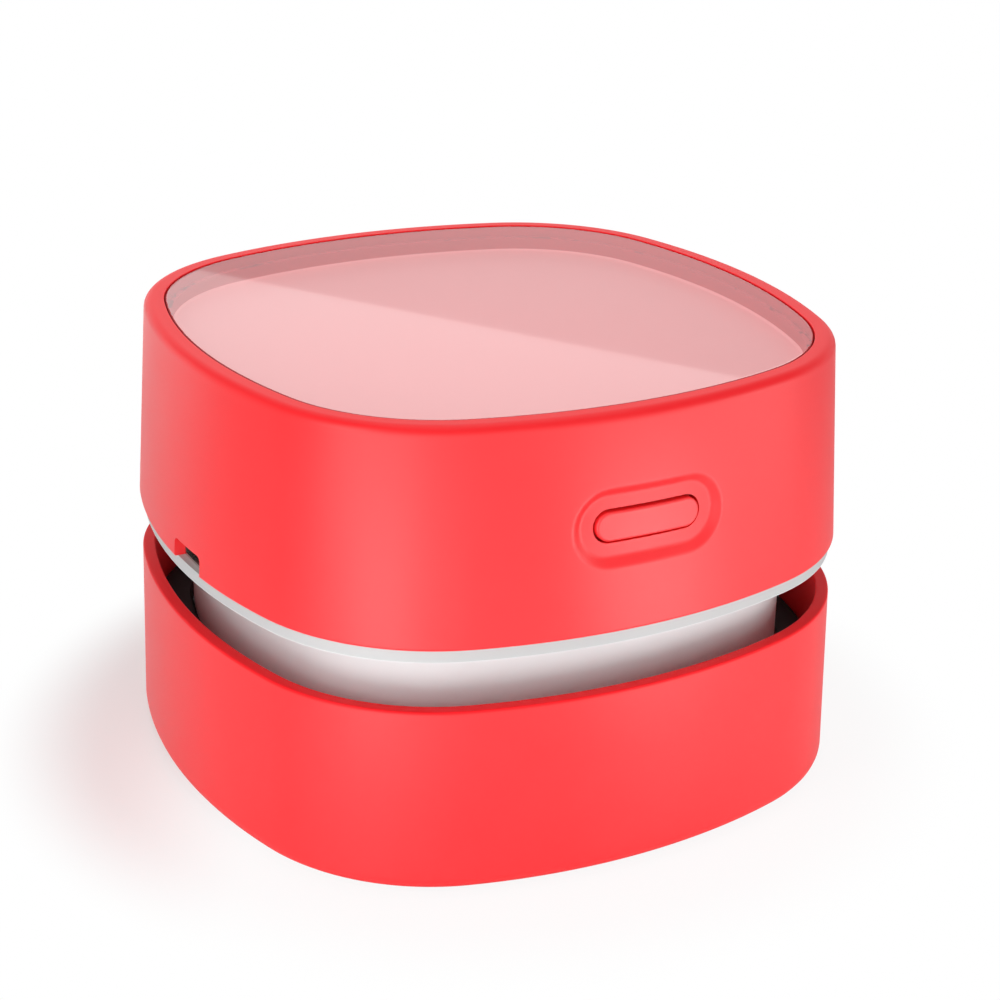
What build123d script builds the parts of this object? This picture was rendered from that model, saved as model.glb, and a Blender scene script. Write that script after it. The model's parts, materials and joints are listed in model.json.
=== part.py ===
from build123d import *

import os
from math import atan2, cos, degrees, radians, sqrt

# Desktop mini vacuum cleaner, in millimetres. +Z is up, z = 0 is the table, the power button faces -Y
# and the charging socket faces -X. A head with the motor, fan and battery stands in a dust cup, and
# lifts straight off it. Insets are measured inwards from the body outline, square to it.

# ---------------------------------------------------------------- body outline and heights
body_width = 84.0
side_radius = 76.0
corner_radius = 26.0
foot_height = 0.8
cup_height = 23.2
air_gap = 7.6
housing_height = 25.9

# ---------------------------------------------------------------- clearances
running_gap = 0.3
fit_gap = 0.15
bearing_gap = 0.05
contact_gap = 0.1

# ---------------------------------------------------------------- upper housing, tray and window
housing_wall = 1.8
housing_draft = 1.675
rim_round = 1.15
skirt_round = 0.25
window_inset = 4.2
window_thickness = 1.5
window_drop = 0.1
pocket_depth = 3.3
tray_floor = 1.2
tray_wall = 0.8
tray_ledge_width = 1.6
tray_ledge_thickness = 1.2

# ---------------------------------------------------------------- core frame: deck, neck and plug flange
deck_inset = 0.5
deck_thickness = 1.6
spigot_height = 1.8
spigot_thickness = 1.4
neck_inset = 6.5
neck_wall = 1.8
cove_radius = 1.4
plug_thickness = 1.6
vent_width = 2.0
vent_height = 3.8
vent_pitch = 4.5
vent_count = 9
vent_lift = 0.6
seal_height = 1.2

# ---------------------------------------------------------------- dust cup
cup_rim_inset = 0.1
cup_flare = 0.6
cup_lip = 1.6
cup_floor = 1.6
cup_base_round = 1.6
cup_floor_round = 1.4
ledge_depth = 10.6
ledge_width = 1.2
ledge_thickness = 1.5
pan_radius = 27.0
pan_depth = 3.8
inlet_radius = 9.0
inlet_wall = 1.5
inlet_rise = 1.6
foot_radius = 4.0
foot_recess = 0.4
foot_margin = 3.6
chamber_flange = 2.4
chamber_flange_thickness = 1.0

# ---------------------------------------------------------------- floor brush
brush_thickness = 2.0
brush_width = 11.0
tuft_radius = 0.8
tuft_seat = 1.0
tuft_lift = 0.3
tuft_row_offset = 3.0
outer_tufts = 36
inner_tufts = 28

# ---------------------------------------------------------------- M2 screws and their bosses
screw_radius = 1.0
head_radius = 1.8
head_height = 1.2
head_round = 0.5
recess_width = 0.5
recess_reach = 2.0
recess_sink = 0.6
clearance_gap = 0.12
head_gap = 0.35
boss_wall = 1.2
boss_cap = 0.8
tip_gap = 0.4
brush_screw_length = 2.8
cover_screw_length = 5.0
case_screw_length = 7.0
motor_screw_length = 3.4
board_screw_length = 3.0
switch_screw_length = 3.6
case_screw_sink = 0.8
motor_screw_sink = 0.6

# ---------------------------------------------------------------- fan
filter_bay = 7.6
cover_thickness = 1.6
eye_radius = 9.0
eye_lip = 1.2
eye_lip_height = 0.8
fan_floor_gap = 1.2
fan_radius = 21.5
fan_disc = 1.2
blade_height = 3.6
blade_count = 9
blade_thickness = 1.0
blade_root_radius = 7.0
blade_sweep = 40.0
blade_bow = 2.0
hub_radius = 3.6
cover_boss_margin = 2.8

# ---------------------------------------------------------------- filter
frame_inset = 5.6
frame_flange = 1.2
frame_spigot = 2.4
frame_wall = 1.1
frame_lip = 1.9
frame_rib = 1.6
mesh_thickness = 0.3
sponge_thickness = 2.0

# ---------------------------------------------------------------- motor
damper_thickness = 1.0
damper_width = 7.0
motor_radius = 12.2
motor_headroom = 1.1
motor_shell = 1.0
motor_boss_radius = 3.0
motor_boss_length = 2.0
end_cap_thickness = 1.6
end_cap_boss = 1.0
end_cap_spigot = 0.8
shaft_radius = 1.0
shaft_tail = 0.6
magnet_thickness = 2.2
magnet_margin = 3.0
magnet_span = 130.0
armature_gap = 0.5
armature_margin = 3.5
pole_slot = 2.4
pole_slot_depth = 4.0
commutator_radius = 2.6
commutator_length = 1.8
brush_block = 1.6
terminal_width = 2.2
terminal_thickness = 0.5
terminal_height = 2.0
terminal_spread = 6.5
motor_screw_spread = 8.0
collar_wall = 1.4
collar_height = 6.4

# ---------------------------------------------------------------- battery
battery_radius = 7.1
battery_length = 50.0
battery_lane = 4.1
battery_round = 0.6
pad_thickness = 0.8
pad_width = 7.0
pad_length = 24.0
tab_thickness = 0.3
tab_width = 3.0
tab_height = 2.4
tab_spread = 2.0
tab_shift = 3.0
saddle_thickness = 2.0
saddle_height = 4.4
saddle_spread = 16.0
stop_thickness = 1.4
stop_width = 10.0

# ---------------------------------------------------------------- charging socket and board
socket_y = -3.6
socket_width = 7.3
socket_height = 2.2
socket_length = 5.2
socket_shell = 0.3
socket_recess = 1.3
socket_corner = 0.8
tongue_width = 4.6
tongue_thickness = 0.6
tongue_block = 1.6
notch_margin = 0.1
notch_headroom = 0.35
notch_round = 0.8
board_thickness = 1.0
board_length = 15.0
board_width = 16.0
post_inset = 2.6
post_spread = 5.4
coil_size = 3.0
coil_height = 1.8
chip_size = 5.0
chip_height = 1.2
capacitor_size = 1.6
capacitor_height = 1.0

# ---------------------------------------------------------------- power button and switch
button_width = 13.5
button_height = 3.5
button_rise = 12.55
button_proud = 0.4
button_round = 0.3
button_travel = 1.2
dish_length = 19.6
dish_height = 9.4
dish_depth = 0.8
dish_bevel = 1.0
flange_margin = 1.4
flange_thickness = 1.0
stem_radius = 1.4
stem_length = 1.4
switch_size = 7.0
switch_depth = 6.0
plunger_size = 3.0
plunger_out = 1.6
plunger_in = 2.0
switch_board_width = 25.0
switch_board_height = 12.0
pillar_size = 4.0
pillar_spread = 9.8
pillar_rise = 3.0

# ---------------------------------------------------------------- leads
lead_radius = 0.6
bend_share = 0.45
lead_rise = 7.0
near_pad = 8.2
far_pad = 10.6
side_pad = 5.4
motor_pad = 5.9
motor_pad_side = 4.2

# ---------------------------------------------------------------- worked-out heights and insets
half = body_width / 2
cup_rim_z = foot_height + cup_height
housing_z = cup_rim_z + air_gap
housing_top_z = housing_z + housing_height
deck_z = housing_z - deck_thickness
plug_z = cup_rim_z - ledge_depth
cover_z = plug_z + filter_bay
fan_chamber_z = cover_z + cover_thickness

window_top_z = housing_top_z - window_drop
window_z = window_top_z - window_thickness
tray_z = window_top_z - pocket_depth - tray_floor
tray_ledge_z = tray_z - tray_ledge_thickness

cup_base_inset = cup_rim_inset - cup_flare
cup_inside_inset = cup_rim_inset + cup_lip
neck_inside_inset = neck_inset + neck_wall
draft_angle = degrees(atan2(housing_draft, housing_height))
flare_angle = degrees(atan2(cup_flare, cup_height))
boss_radius = screw_radius + boss_wall

# ---------------------------------------------------------------- the outline's arcs
# Centre of a corner arc, where it runs on smoothly into its side arcs, and half the angle of a side arc.
side_centre = half - side_radius
corner_centre = (side_centre + sqrt(2 * (side_radius - corner_radius) ** 2 - side_centre**2)) / 2
side_half_angle = degrees(atan2(corner_centre, corner_centre - side_centre))
corner_reach = corner_centre * sqrt(2) + corner_radius
foot_radial = corner_reach - foot_radius - foot_margin


def rounded_square(inset, mode=Mode.ADD):
    """Draws the body outline in the sketch, inset inwards: four shallow side arcs, four corner arcs."""
    with BuildLine() as outline:
        for quarter in range(4):
            turn = 90 * quarter
            side = Vector(0, side_centre).rotate(Axis.Z, turn)
            corner = Vector(corner_centre, corner_centre).rotate(Axis.Z, turn)
            CenterArc(side, side_radius - inset, turn + 90 - side_half_angle, 2 * side_half_angle)
            CenterArc(corner, corner_radius - inset, turn + side_half_angle, 90 - 2 * side_half_angle)
    make_face(outline.edges(), mode=mode)


def side_reach(across, inset):
    """How far a side stands from the centre, at a distance across from its own middle."""
    return side_centre + sqrt((side_radius - inset) ** 2 - across**2)


def housing_inset(z):
    """Inset of the upper housing's drafted outer face at a height."""
    return housing_draft * (z - housing_z) / housing_height


def on_diagonals(radial):
    """Four places on the diagonals of the body, at a distance from its axis."""
    return GridLocations(radial * sqrt(2), radial * sqrt(2), 2, 2)


def seats(places, z):
    """Planes at a height, one at each place, that face down. A screw's head hangs below such a plane."""
    return [Plane(place.position + (0, 0, z), x_dir=(1, 0, 0), z_dir=(0, 0, -1)) for place in places]


def pan_head_screw(length):
    """A cross-recess pan head screw. Its seat is the XY plane, and its head stands up from there."""
    with BuildPart() as screw:
        with BuildSketch():
            Circle(head_radius)
        extrude(amount=head_height)
        fillet(screw.edges().group_by(Axis.Z)[-1], head_round)
        with BuildSketch(Plane.XY.offset(head_height)):
            Rectangle(recess_width, recess_reach)
            Rectangle(recess_reach, recess_width)
        extrude(amount=-recess_sink, mode=Mode.SUBTRACT)
        with BuildSketch():
            Circle(screw_radius)
        extrude(amount=-length)
    return screw.part


def bent_lead(points):
    """A round lead through the points: straight runs joined by arcs as large as the runs allow."""
    steps = [end - start for start, end in zip(points, points[1:])]
    bends = []
    for step, next_step in zip(steps, steps[1:]):
        turn = radians(step.get_angle(next_step))
        half_turn_tangent = sqrt((1 - cos(turn)) / (1 + cos(turn)))
        bends.append(bend_share * min(step.length, next_step.length) / half_turn_tangent)
    with BuildPart() as lead:
        with BuildLine() as route:
            FilletPolyline(*points, radius=bends)
        with BuildSketch(Plane(points[0], z_dir=steps[0])):
            Circle(lead_radius)
        sweep(path=route.wires()[0])
    return lead.part


os.makedirs("parts", exist_ok=True)

# ================================================================ dust cup and what it carries
cup_floor_z = foot_height + cup_floor
pan_z = foot_height + pan_depth
pan_top_z = pan_z + cup_floor
chamber_radius = pan_radius + cup_floor
inlet_top_z = pan_top_z + inlet_rise
brush_z = pan_z - brush_thickness
brush_radius = pan_radius - fit_gap
brush_screw_radial = brush_radius - brush_width / 2
brush_seat_z = brush_z + head_height
brush_boss_z = brush_seat_z + brush_screw_length + tip_gap + boss_cap
tuft_rows = (
    (brush_screw_radial + tuft_row_offset, outer_tufts),
    (brush_screw_radial - tuft_row_offset, inner_tufts),
)

with BuildPart() as dust_cup:
    with BuildSketch(Plane.XY.offset(foot_height)):
        rounded_square(cup_base_inset)
    extrude(amount=cup_height, taper=flare_angle)
    fillet(dust_cup.edges().group_by(Axis.Z)[0], cup_base_round)
    with BuildSketch(Plane.XY.offset(cup_floor_z)):
        rounded_square(cup_inside_inset)
    extrude(amount=cup_height, mode=Mode.SUBTRACT)
    floor_level = (cup_floor_z - contact_gap, cup_floor_z + contact_gap)
    fillet(dust_cup.edges().filter_by_position(Axis.Z, *floor_level), cup_floor_round)
    # The ledge that the head's plug flange rests on.
    with BuildSketch(Plane.XY.offset(plug_z - ledge_thickness)):
        rounded_square(cup_inside_inset - fit_gap)
        rounded_square(cup_inside_inset + ledge_width, mode=Mode.SUBTRACT)
    extrude(amount=ledge_thickness)
    with BuildSketch(Plane.XY.offset(foot_height)):
        Circle(chamber_radius + fit_gap)
    extrude(amount=cup_floor, mode=Mode.SUBTRACT)
    with BuildSketch(Plane.XY.offset(foot_height)):
        with on_diagonals(foot_radial):
            Circle(foot_radius + fit_gap)
    extrude(amount=foot_recess, mode=Mode.SUBTRACT)
dust_cup.part.label = "dust_cup"
export_step(dust_cup.part, "parts/dust_cup.step")

# The raised pan over the brush, with the suction inlet's tube in its middle. Its flange is bonded to the
# cup's floor from above.
with BuildPart() as brush_chamber:
    with BuildSketch(Plane.XY.offset(foot_height)):
        Circle(chamber_radius)
    extrude(amount=pan_top_z - foot_height)
    fillet(brush_chamber.edges().group_by(Axis.Z)[-1], cup_floor / 2)
    with BuildSketch(Plane.XY.offset(cup_floor_z)):
        Circle(chamber_radius + chamber_flange)
    extrude(amount=chamber_flange_thickness)
    with BuildSketch(Plane.XY.offset(foot_height)):
        Circle(pan_radius)
    extrude(amount=pan_depth, mode=Mode.SUBTRACT)
    with BuildSketch(Plane.XY.offset(pan_z)):
        Circle(inlet_radius + inlet_wall)
    extrude(amount=inlet_top_z - pan_z)
    with BuildSketch(Plane.XY.offset(pan_z)):
        Circle(inlet_radius)
    extrude(amount=inlet_top_z - pan_z, mode=Mode.SUBTRACT)
    with BuildSketch(Plane.XY.offset(pan_z)):
        with on_diagonals(brush_screw_radial):
            Circle(boss_radius)
    extrude(amount=brush_boss_z - pan_z)
    with BuildSketch(Plane.XY.offset(pan_z)):
        with on_diagonals(brush_screw_radial):
            Circle(screw_radius + bearing_gap)
    extrude(amount=brush_boss_z - pan_z - boss_cap, mode=Mode.SUBTRACT)
brush_chamber.part.label = "brush_chamber"
export_step(brush_chamber.part, "parts/brush_chamber.step")

with BuildPart() as glide_feet:
    with BuildSketch():
        with on_diagonals(foot_radial):
            Circle(foot_radius)
    extrude(amount=foot_height + foot_recess)
    fillet(glide_feet.edges().group_by(Axis.Z)[0], foot_recess / 2)
glide_feet.part.label = "glide_feet"
export_step(glide_feet.part, "parts/glide_feet.step")

with BuildPart() as brush_ring:
    with BuildSketch(Plane.XY.offset(brush_z)):
        Circle(brush_radius)
        Circle(brush_radius - brush_width, mode=Mode.SUBTRACT)
    extrude(amount=brush_thickness)
    chamfer(brush_ring.edges().group_by(Axis.Z)[0], tuft_radius / 2)
    with BuildSketch(Plane.XY.offset(brush_z)):
        with on_diagonals(brush_screw_radial):
            Circle(screw_radius + clearance_gap)
    extrude(amount=brush_thickness, mode=Mode.SUBTRACT)
    with BuildSketch(Plane.XY.offset(brush_z)):
        with on_diagonals(brush_screw_radial):
            Circle(head_radius + clearance_gap)
    extrude(amount=head_height, mode=Mode.SUBTRACT)
    with BuildSketch(Plane.XY.offset(brush_z)):
        for row_radius, count in tuft_rows:
            with PolarLocations(row_radius, count):
                Circle(tuft_radius + bearing_gap)
    extrude(amount=tuft_seat, mode=Mode.SUBTRACT)
brush_ring.part.label = "brush_ring"
export_step(brush_ring.part, "parts/brush_ring.step")

with BuildPart() as bristle_tufts:
    with BuildSketch(Plane.XY.offset(tuft_lift)):
        for row_radius, count in tuft_rows:
            with PolarLocations(row_radius, count):
                Circle(tuft_radius)
    extrude(amount=brush_z + tuft_seat - tuft_lift)
bristle_tufts.part.label = "bristle_tufts"
export_step(bristle_tufts.part, "parts/bristle_tufts.step")

brush_screw = pan_head_screw(brush_screw_length)
with BuildPart() as brush_screws:
    with Locations(*seats(on_diagonals(brush_screw_radial), brush_seat_z)):
        add(brush_screw)
brush_screws.part.label = "brush_screws"
export_step(brush_screws.part, "parts/brush_screws.step")

# ================================================================ places shared by the head's pieces
button_z = housing_z + button_rise
case_boss_radial = corner_reach - housing_wall - boss_radius + housing_wall / 3
case_seat_z = deck_z + case_screw_sink
case_boss_z = case_seat_z + case_screw_length + tip_gap + boss_cap

notch_width = socket_width + 2 * notch_margin
notch_height = bearing_gap + socket_height + notch_headroom
socket_z = housing_z + bearing_gap
socket_mouth = side_reach(socket_y, 0) - socket_recess
board_z = socket_z + socket_height
board_top_z = board_z + board_thickness
board_outer = side_reach(
    board_width / 2 - socket_y, housing_wall + running_gap + housing_inset(board_top_z)
)
board_inner = board_outer - board_length

flange_length = button_width + 2 * flange_margin
flange_height = button_height + 2 * flange_margin
flange_front = side_reach(
    flange_length / 2, housing_wall + running_gap + housing_inset(button_z + flange_height / 2)
)
flange_back = flange_front - flange_thickness
plunger_front = flange_back - stem_length
switch_front = plunger_front - plunger_out
switch_board_front = switch_front - switch_depth
switch_board_back = switch_board_front - board_thickness

motor_z = housing_z + damper_thickness
shaft_top_z = tray_z - motor_headroom
end_cap_z = shaft_top_z - shaft_tail - end_cap_boss
motor_top_z = end_cap_z - end_cap_thickness
motor_length = motor_top_z - motor_z
collar_radius = motor_radius + fit_gap + collar_wall
battery_y = collar_radius + battery_lane + battery_radius
battery_z = housing_z + pad_thickness + contact_gap + battery_radius
plug_inset = cup_inside_inset + running_gap + contact_gap
spigot_inset = housing_wall + fit_gap + housing_inset(housing_z + spigot_height)


def front_plane(reach):
    """A plane square to Y, in front of the axis by reach, at the power button's height. It faces back."""
    return Plane((0, -reach, button_z), x_dir=(1, 0, 0), z_dir=(0, 1, 0))


def side_plane(x, y, z):
    """A plane square to X at a point, that faces +X, with Y across and Z up."""
    return Plane((x, y, z), x_dir=(0, 1, 0), z_dir=(1, 0, 0))


def board_pad(inward, across):
    """A place on top of the charging board, from its inner edge and from the socket's middle."""
    return Vector(-board_inner - inward, socket_y + across, board_top_z)


# ================================================================ upper housing
bevel_slope = dish_bevel / dish_depth
button_inset = housing_inset(button_z)
dish_end_drop = half - side_reach(dish_length / 2, button_inset)

# What the dished recess takes out of the wall: bevelled sides, and a floor that follows the wall.
with BuildPart() as dish_cut:
    with BuildSketch(front_plane(half)):
        SlotOverall(
            dish_length + 2 * bevel_slope * dish_end_drop, dish_height + 2 * bevel_slope * button_inset
        )
    extrude(amount=2 * dish_depth + button_inset, taper=degrees(atan2(dish_bevel, dish_depth)))
    with BuildSketch(Plane.XY.offset(housing_z)):
        rounded_square(dish_depth)
    extrude(amount=housing_height, taper=draft_angle, mode=Mode.SUBTRACT)

with BuildPart() as upper_housing:
    with BuildSketch(Plane.XY.offset(housing_z)):
        rounded_square(0)
    extrude(amount=housing_height, taper=draft_angle)
    fillet(upper_housing.edges().group_by(Axis.Z)[-1], rim_round)
    fillet(upper_housing.edges().group_by(Axis.Z)[0], skirt_round)
    with BuildSketch(Plane.XY.offset(housing_z)):
        rounded_square(housing_wall)
    extrude(amount=tray_ledge_z - housing_z, taper=draft_angle, mode=Mode.SUBTRACT)
    with BuildSketch(Plane.XY.offset(tray_ledge_z)):
        rounded_square(window_inset + tray_ledge_width)
    extrude(amount=tray_ledge_thickness, mode=Mode.SUBTRACT)
    with BuildSketch(Plane.XY.offset(tray_z)):
        rounded_square(window_inset)
    extrude(amount=housing_top_z - tray_z, mode=Mode.SUBTRACT)
    # Screw bosses that grow out of the wall in the corners.
    with BuildSketch(Plane.XY.offset(housing_z)):
        with on_diagonals(case_boss_radial):
            Circle(boss_radius)
    extrude(amount=case_boss_z - housing_z)
    with BuildSketch(Plane.XY.offset(housing_z)):
        with on_diagonals(case_boss_radial):
            Circle(screw_radius + bearing_gap)
    extrude(amount=case_boss_z - boss_cap - housing_z, mode=Mode.SUBTRACT)
    # Dished recess and slot for the power button, and the notch for the charging socket.
    add(dish_cut.part, mode=Mode.SUBTRACT)
    with BuildSketch(front_plane(half)):
        SlotOverall(button_width + 2 * running_gap, button_height + 2 * running_gap)
    extrude(amount=half - flange_front, mode=Mode.SUBTRACT)
    with BuildSketch(side_plane(-half, socket_y, housing_z)) as notch:
        Rectangle(notch_width, 2 * notch_height)
        fillet(notch.vertices().group_by(Axis.Y)[-1], notch_round)
    extrude(amount=half - side_reach(notch_width / 2 - socket_y, 2 * housing_wall), mode=Mode.SUBTRACT)
upper_housing.part.label = "upper_housing"
export_step(upper_housing.part, "parts/upper_housing.step")

with BuildPart() as top_window:
    with BuildSketch(Plane.XY.offset(window_z)):
        rounded_square(window_inset + fit_gap)
    extrude(amount=window_thickness)
    fillet(top_window.edges().group_by(Axis.Z)[-1], window_drop)
top_window.part.label = "top_window"
export_step(top_window.part, "parts/top_window.step")

with BuildPart() as display_tray:
    with BuildSketch(Plane.XY.offset(tray_z)):
        rounded_square(window_inset + fit_gap)
    extrude(amount=window_z - tray_z)
    with BuildSketch(Plane.XY.offset(tray_z + tray_floor)):
        rounded_square(window_inset + fit_gap + tray_wall)
    extrude(amount=window_z - tray_z, mode=Mode.SUBTRACT)
display_tray.part.label = "display_tray"
export_step(display_tray.part, "parts/display_tray.step")

# ================================================================ core frame
cover_boss_radial = corner_reach - neck_inside_inset - boss_radius - cover_boss_margin
vent_z = cup_rim_z + vent_lift + vent_height / 2
post_places = [(-board_inner - post_inset, socket_y + side * post_spread) for side in (-1, 1)]
saddle_span = saddle_spread + saddle_thickness / 2
stop_face = battery_length / 2 + fit_gap

with BuildPart() as core_frame:
    with BuildSketch(Plane.XY.offset(deck_z)):
        rounded_square(deck_inset)
    extrude(amount=deck_thickness)
    with BuildSketch(Plane.XY.offset(plug_z)):
        rounded_square(neck_inset)
    extrude(amount=deck_z - plug_z)
    under_deck = core_frame.edges().filter_by_position(Axis.Z, deck_z - contact_gap, deck_z + contact_gap)
    fillet(under_deck.sort_by_distance((0, 0, deck_z))[:8], cove_radius)
    with BuildSketch(Plane.XY.offset(plug_z)):
        rounded_square(plug_inset)
    extrude(amount=plug_thickness)
    with BuildSketch(Plane.XY.offset(plug_z)):
        rounded_square(neck_inside_inset)
    extrude(amount=deck_z - plug_z, mode=Mode.SUBTRACT)
    # Spigot that centres the housing, and the collar that holds the motor.
    with BuildSketch(Plane.XY.offset(housing_z)):
        rounded_square(spigot_inset)
        rounded_square(spigot_inset + spigot_thickness, mode=Mode.SUBTRACT)
        with on_diagonals(case_boss_radial):
            Circle(boss_radius + fit_gap, mode=Mode.SUBTRACT)
        with Locations((-half, socket_y)):
            Rectangle(half, notch_width + 2 * fit_gap, mode=Mode.SUBTRACT)
    extrude(amount=spigot_height)
    with BuildSketch(Plane.XY.offset(housing_z)):
        Circle(collar_radius)
        Circle(motor_radius + fit_gap, mode=Mode.SUBTRACT)
    extrude(amount=collar_height)
    # Bosses for the fan cover, posts for the charging board and pillars for the switch board.
    with BuildSketch(Plane.XY.offset(fan_chamber_z)):
        with on_diagonals(cover_boss_radial):
            Circle(boss_radius)
    extrude(amount=deck_z - fan_chamber_z)
    with BuildSketch(Plane.XY.offset(housing_z)):
        with Locations(*post_places):
            Circle(boss_radius)
    extrude(amount=board_z - housing_z)
    with BuildSketch(Plane.XY.offset(housing_z)):
        with Locations((0, pillar_size / 2 - switch_board_back)):
            with GridLocations(2 * pillar_spread, 1, 2, 1):
                Rectangle(pillar_size, pillar_size)
    extrude(amount=button_rise + pillar_rise)
    # Saddles and end stops for the battery.
    with BuildSketch(side_plane(-saddle_span, battery_y, housing_z)) as saddle:
        Rectangle(2 * battery_radius, saddle_height, align=(Align.CENTER, Align.MIN))
        with Locations((0, battery_z - housing_z)):
            Circle(battery_radius + fit_gap, mode=Mode.SUBTRACT)
    extrude(amount=saddle_thickness)
    with BuildSketch(side_plane(saddle_span - saddle_thickness, battery_y, housing_z)):
        add(saddle.sketch_local)
    extrude(amount=saddle_thickness)
    with BuildSketch(Plane.XY.offset(housing_z)):
        with Locations((0, battery_y)):
            with GridLocations(2 * stop_face + stop_thickness, 1, 2, 1):
                Rectangle(stop_thickness, stop_width)
    extrude(amount=saddle_height)
    # Openings: motor boss, screws and their spot faces, pilot holes, and the exhaust slots in the neck.
    with BuildSketch(Plane.XY.offset(deck_z)):
        Circle(motor_boss_radius + running_gap)
        with GridLocations(2 * motor_screw_spread, 1, 2, 1):
            Circle(screw_radius + clearance_gap)
        with on_diagonals(case_boss_radial):
            Circle(screw_radius + clearance_gap)
    extrude(amount=deck_thickness, mode=Mode.SUBTRACT)
    with BuildSketch(Plane.XY.offset(deck_z)):
        with GridLocations(2 * motor_screw_spread, 1, 2, 1):
            Circle(head_radius + head_gap)
    extrude(amount=motor_screw_sink, mode=Mode.SUBTRACT)
    with BuildSketch(Plane.XY.offset(deck_z - cove_radius)):
        with on_diagonals(case_boss_radial):
            Circle(head_radius + head_gap)
    extrude(amount=cove_radius + case_screw_sink, mode=Mode.SUBTRACT)
    with BuildSketch(Plane.XY.offset(fan_chamber_z)):
        with on_diagonals(cover_boss_radial):
            Circle(screw_radius + bearing_gap)
    extrude(amount=cover_screw_length - cover_thickness + tip_gap, mode=Mode.SUBTRACT)
    with BuildSketch(Plane.XY.offset(board_top_z - board_screw_length - tip_gap)):
        with Locations(*post_places):
            Circle(screw_radius + bearing_gap)
    extrude(amount=board_screw_length + tip_gap, mode=Mode.SUBTRACT)
    with BuildSketch(front_plane(switch_board_back)):
        with GridLocations(2 * pillar_spread, 1, 2, 1):
            Circle(screw_radius + bearing_gap)
    extrude(amount=switch_screw_length - board_thickness + tip_gap, mode=Mode.SUBTRACT)
    with BuildSketch(Plane((0, 0, vent_z), x_dir=(1, 0, 0), z_dir=(0, 1, 0))) as vents:
        with GridLocations(vent_pitch, 1, vent_count, 1):
            SlotOverall(vent_height, vent_width, rotation=90)
    extrude(amount=half, mode=Mode.SUBTRACT)
    with BuildSketch(Plane((0, 0, vent_z), x_dir=(0, -1, 0), z_dir=(1, 0, 0))):
        add(vents.sketch_local)
    extrude(amount=half, mode=Mode.SUBTRACT)
core_frame.part.label = "core_frame"
export_step(core_frame.part, "parts/core_frame.step")

with BuildPart() as seal_ring:
    with BuildSketch(Plane.XY.offset(plug_z + plug_thickness)):
        rounded_square(cup_inside_inset + running_gap)
        rounded_square(neck_inset - fit_gap, mode=Mode.SUBTRACT)
    extrude(amount=seal_height)
    chamfer(seal_ring.edges().group_by(Axis.Z)[-1], seal_height / 3)
seal_ring.part.label = "seal_ring"
export_step(seal_ring.part, "parts/seal_ring.step")

case_screw = pan_head_screw(case_screw_length)
with BuildPart() as housing_screws:
    with Locations(*seats(on_diagonals(case_boss_radial), case_seat_z)):
        add(case_screw)
housing_screws.part.label = "housing_screws"
export_step(housing_screws.part, "parts/housing_screws.step")

# ================================================================ fan and its cover
fan_z = fan_chamber_z + fan_floor_gap
fan_disc_z = fan_z + blade_height
fan_top_z = fan_disc_z + fan_disc
blade_tip_radius = fan_radius - blade_thickness
blade_middle_radius = (blade_root_radius + blade_tip_radius) / 2

with BuildPart() as fan_cover:
    with BuildSketch(Plane.XY.offset(cover_z)):
        rounded_square(neck_inside_inset + fit_gap)
    extrude(amount=cover_thickness)
    with BuildSketch(Plane.XY.offset(cover_z)):
        Circle(eye_radius + eye_lip)
    extrude(amount=-eye_lip_height)
    with BuildSketch(Plane.XY.offset(fan_chamber_z)):
        Circle(eye_radius)
        with on_diagonals(cover_boss_radial):
            Circle(screw_radius + clearance_gap)
    extrude(amount=-cover_thickness - eye_lip_height, mode=Mode.SUBTRACT)
fan_cover.part.label = "fan_cover"
export_step(fan_cover.part, "parts/fan_cover.step")

cover_screw = pan_head_screw(cover_screw_length)
with BuildPart() as cover_screws:
    with Locations(*seats(on_diagonals(cover_boss_radial), cover_z)):
        add(cover_screw)
cover_screws.part.label = "cover_screws"
export_step(cover_screws.part, "parts/cover_screws.step")

with BuildPart() as fan_impeller:
    with BuildSketch(Plane.XY.offset(fan_disc_z)):
        Circle(fan_radius)
    extrude(amount=fan_disc)
    with BuildSketch(Plane.XY.offset(fan_z)):
        Circle(hub_radius)
    extrude(amount=fan_top_z - fan_z)
    with BuildLine(mode=Mode.PRIVATE) as blade_line:
        root = Vector(blade_root_radius, 0)
        tip = Vector(blade_tip_radius, 0).rotate(Axis.Z, -blade_sweep)
        middle = Vector(blade_middle_radius, blade_bow).rotate(Axis.Z, -blade_sweep / 2)
        ThreePointArc(root, middle, tip)
    with BuildSketch(Plane.XY.offset(fan_z)):
        with PolarLocations(0, blade_count):
            SlotArc(blade_line.edge(), blade_thickness)
    extrude(amount=blade_height)
    with BuildSketch(Plane.XY.offset(fan_z)):
        Circle(shaft_radius + bearing_gap)
    extrude(amount=fan_top_z - fan_z, mode=Mode.SUBTRACT)
fan_impeller.part.label = "fan_impeller"
export_step(fan_impeller.part, "parts/fan_impeller.step")

# ================================================================ filter
frame_z = plug_z - frame_flange
frame_spigot_inset = neck_inside_inset + running_gap
frame_inside_inset = frame_spigot_inset + frame_wall

with BuildPart() as filter_frame:
    with BuildSketch(Plane.XY.offset(frame_z)):
        rounded_square(frame_inset)
        rounded_square(frame_inside_inset + frame_lip, mode=Mode.SUBTRACT)
        Rectangle(2 * (half - frame_inside_inset), frame_rib)
        Rectangle(frame_rib, 2 * (half - frame_inside_inset))
    extrude(amount=frame_flange)
    with BuildSketch(Plane.XY.offset(plug_z)):
        rounded_square(frame_spigot_inset)
        rounded_square(frame_inside_inset, mode=Mode.SUBTRACT)
    extrude(amount=frame_spigot)
filter_frame.part.label = "filter_frame"
export_step(filter_frame.part, "parts/filter_frame.step")

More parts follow.
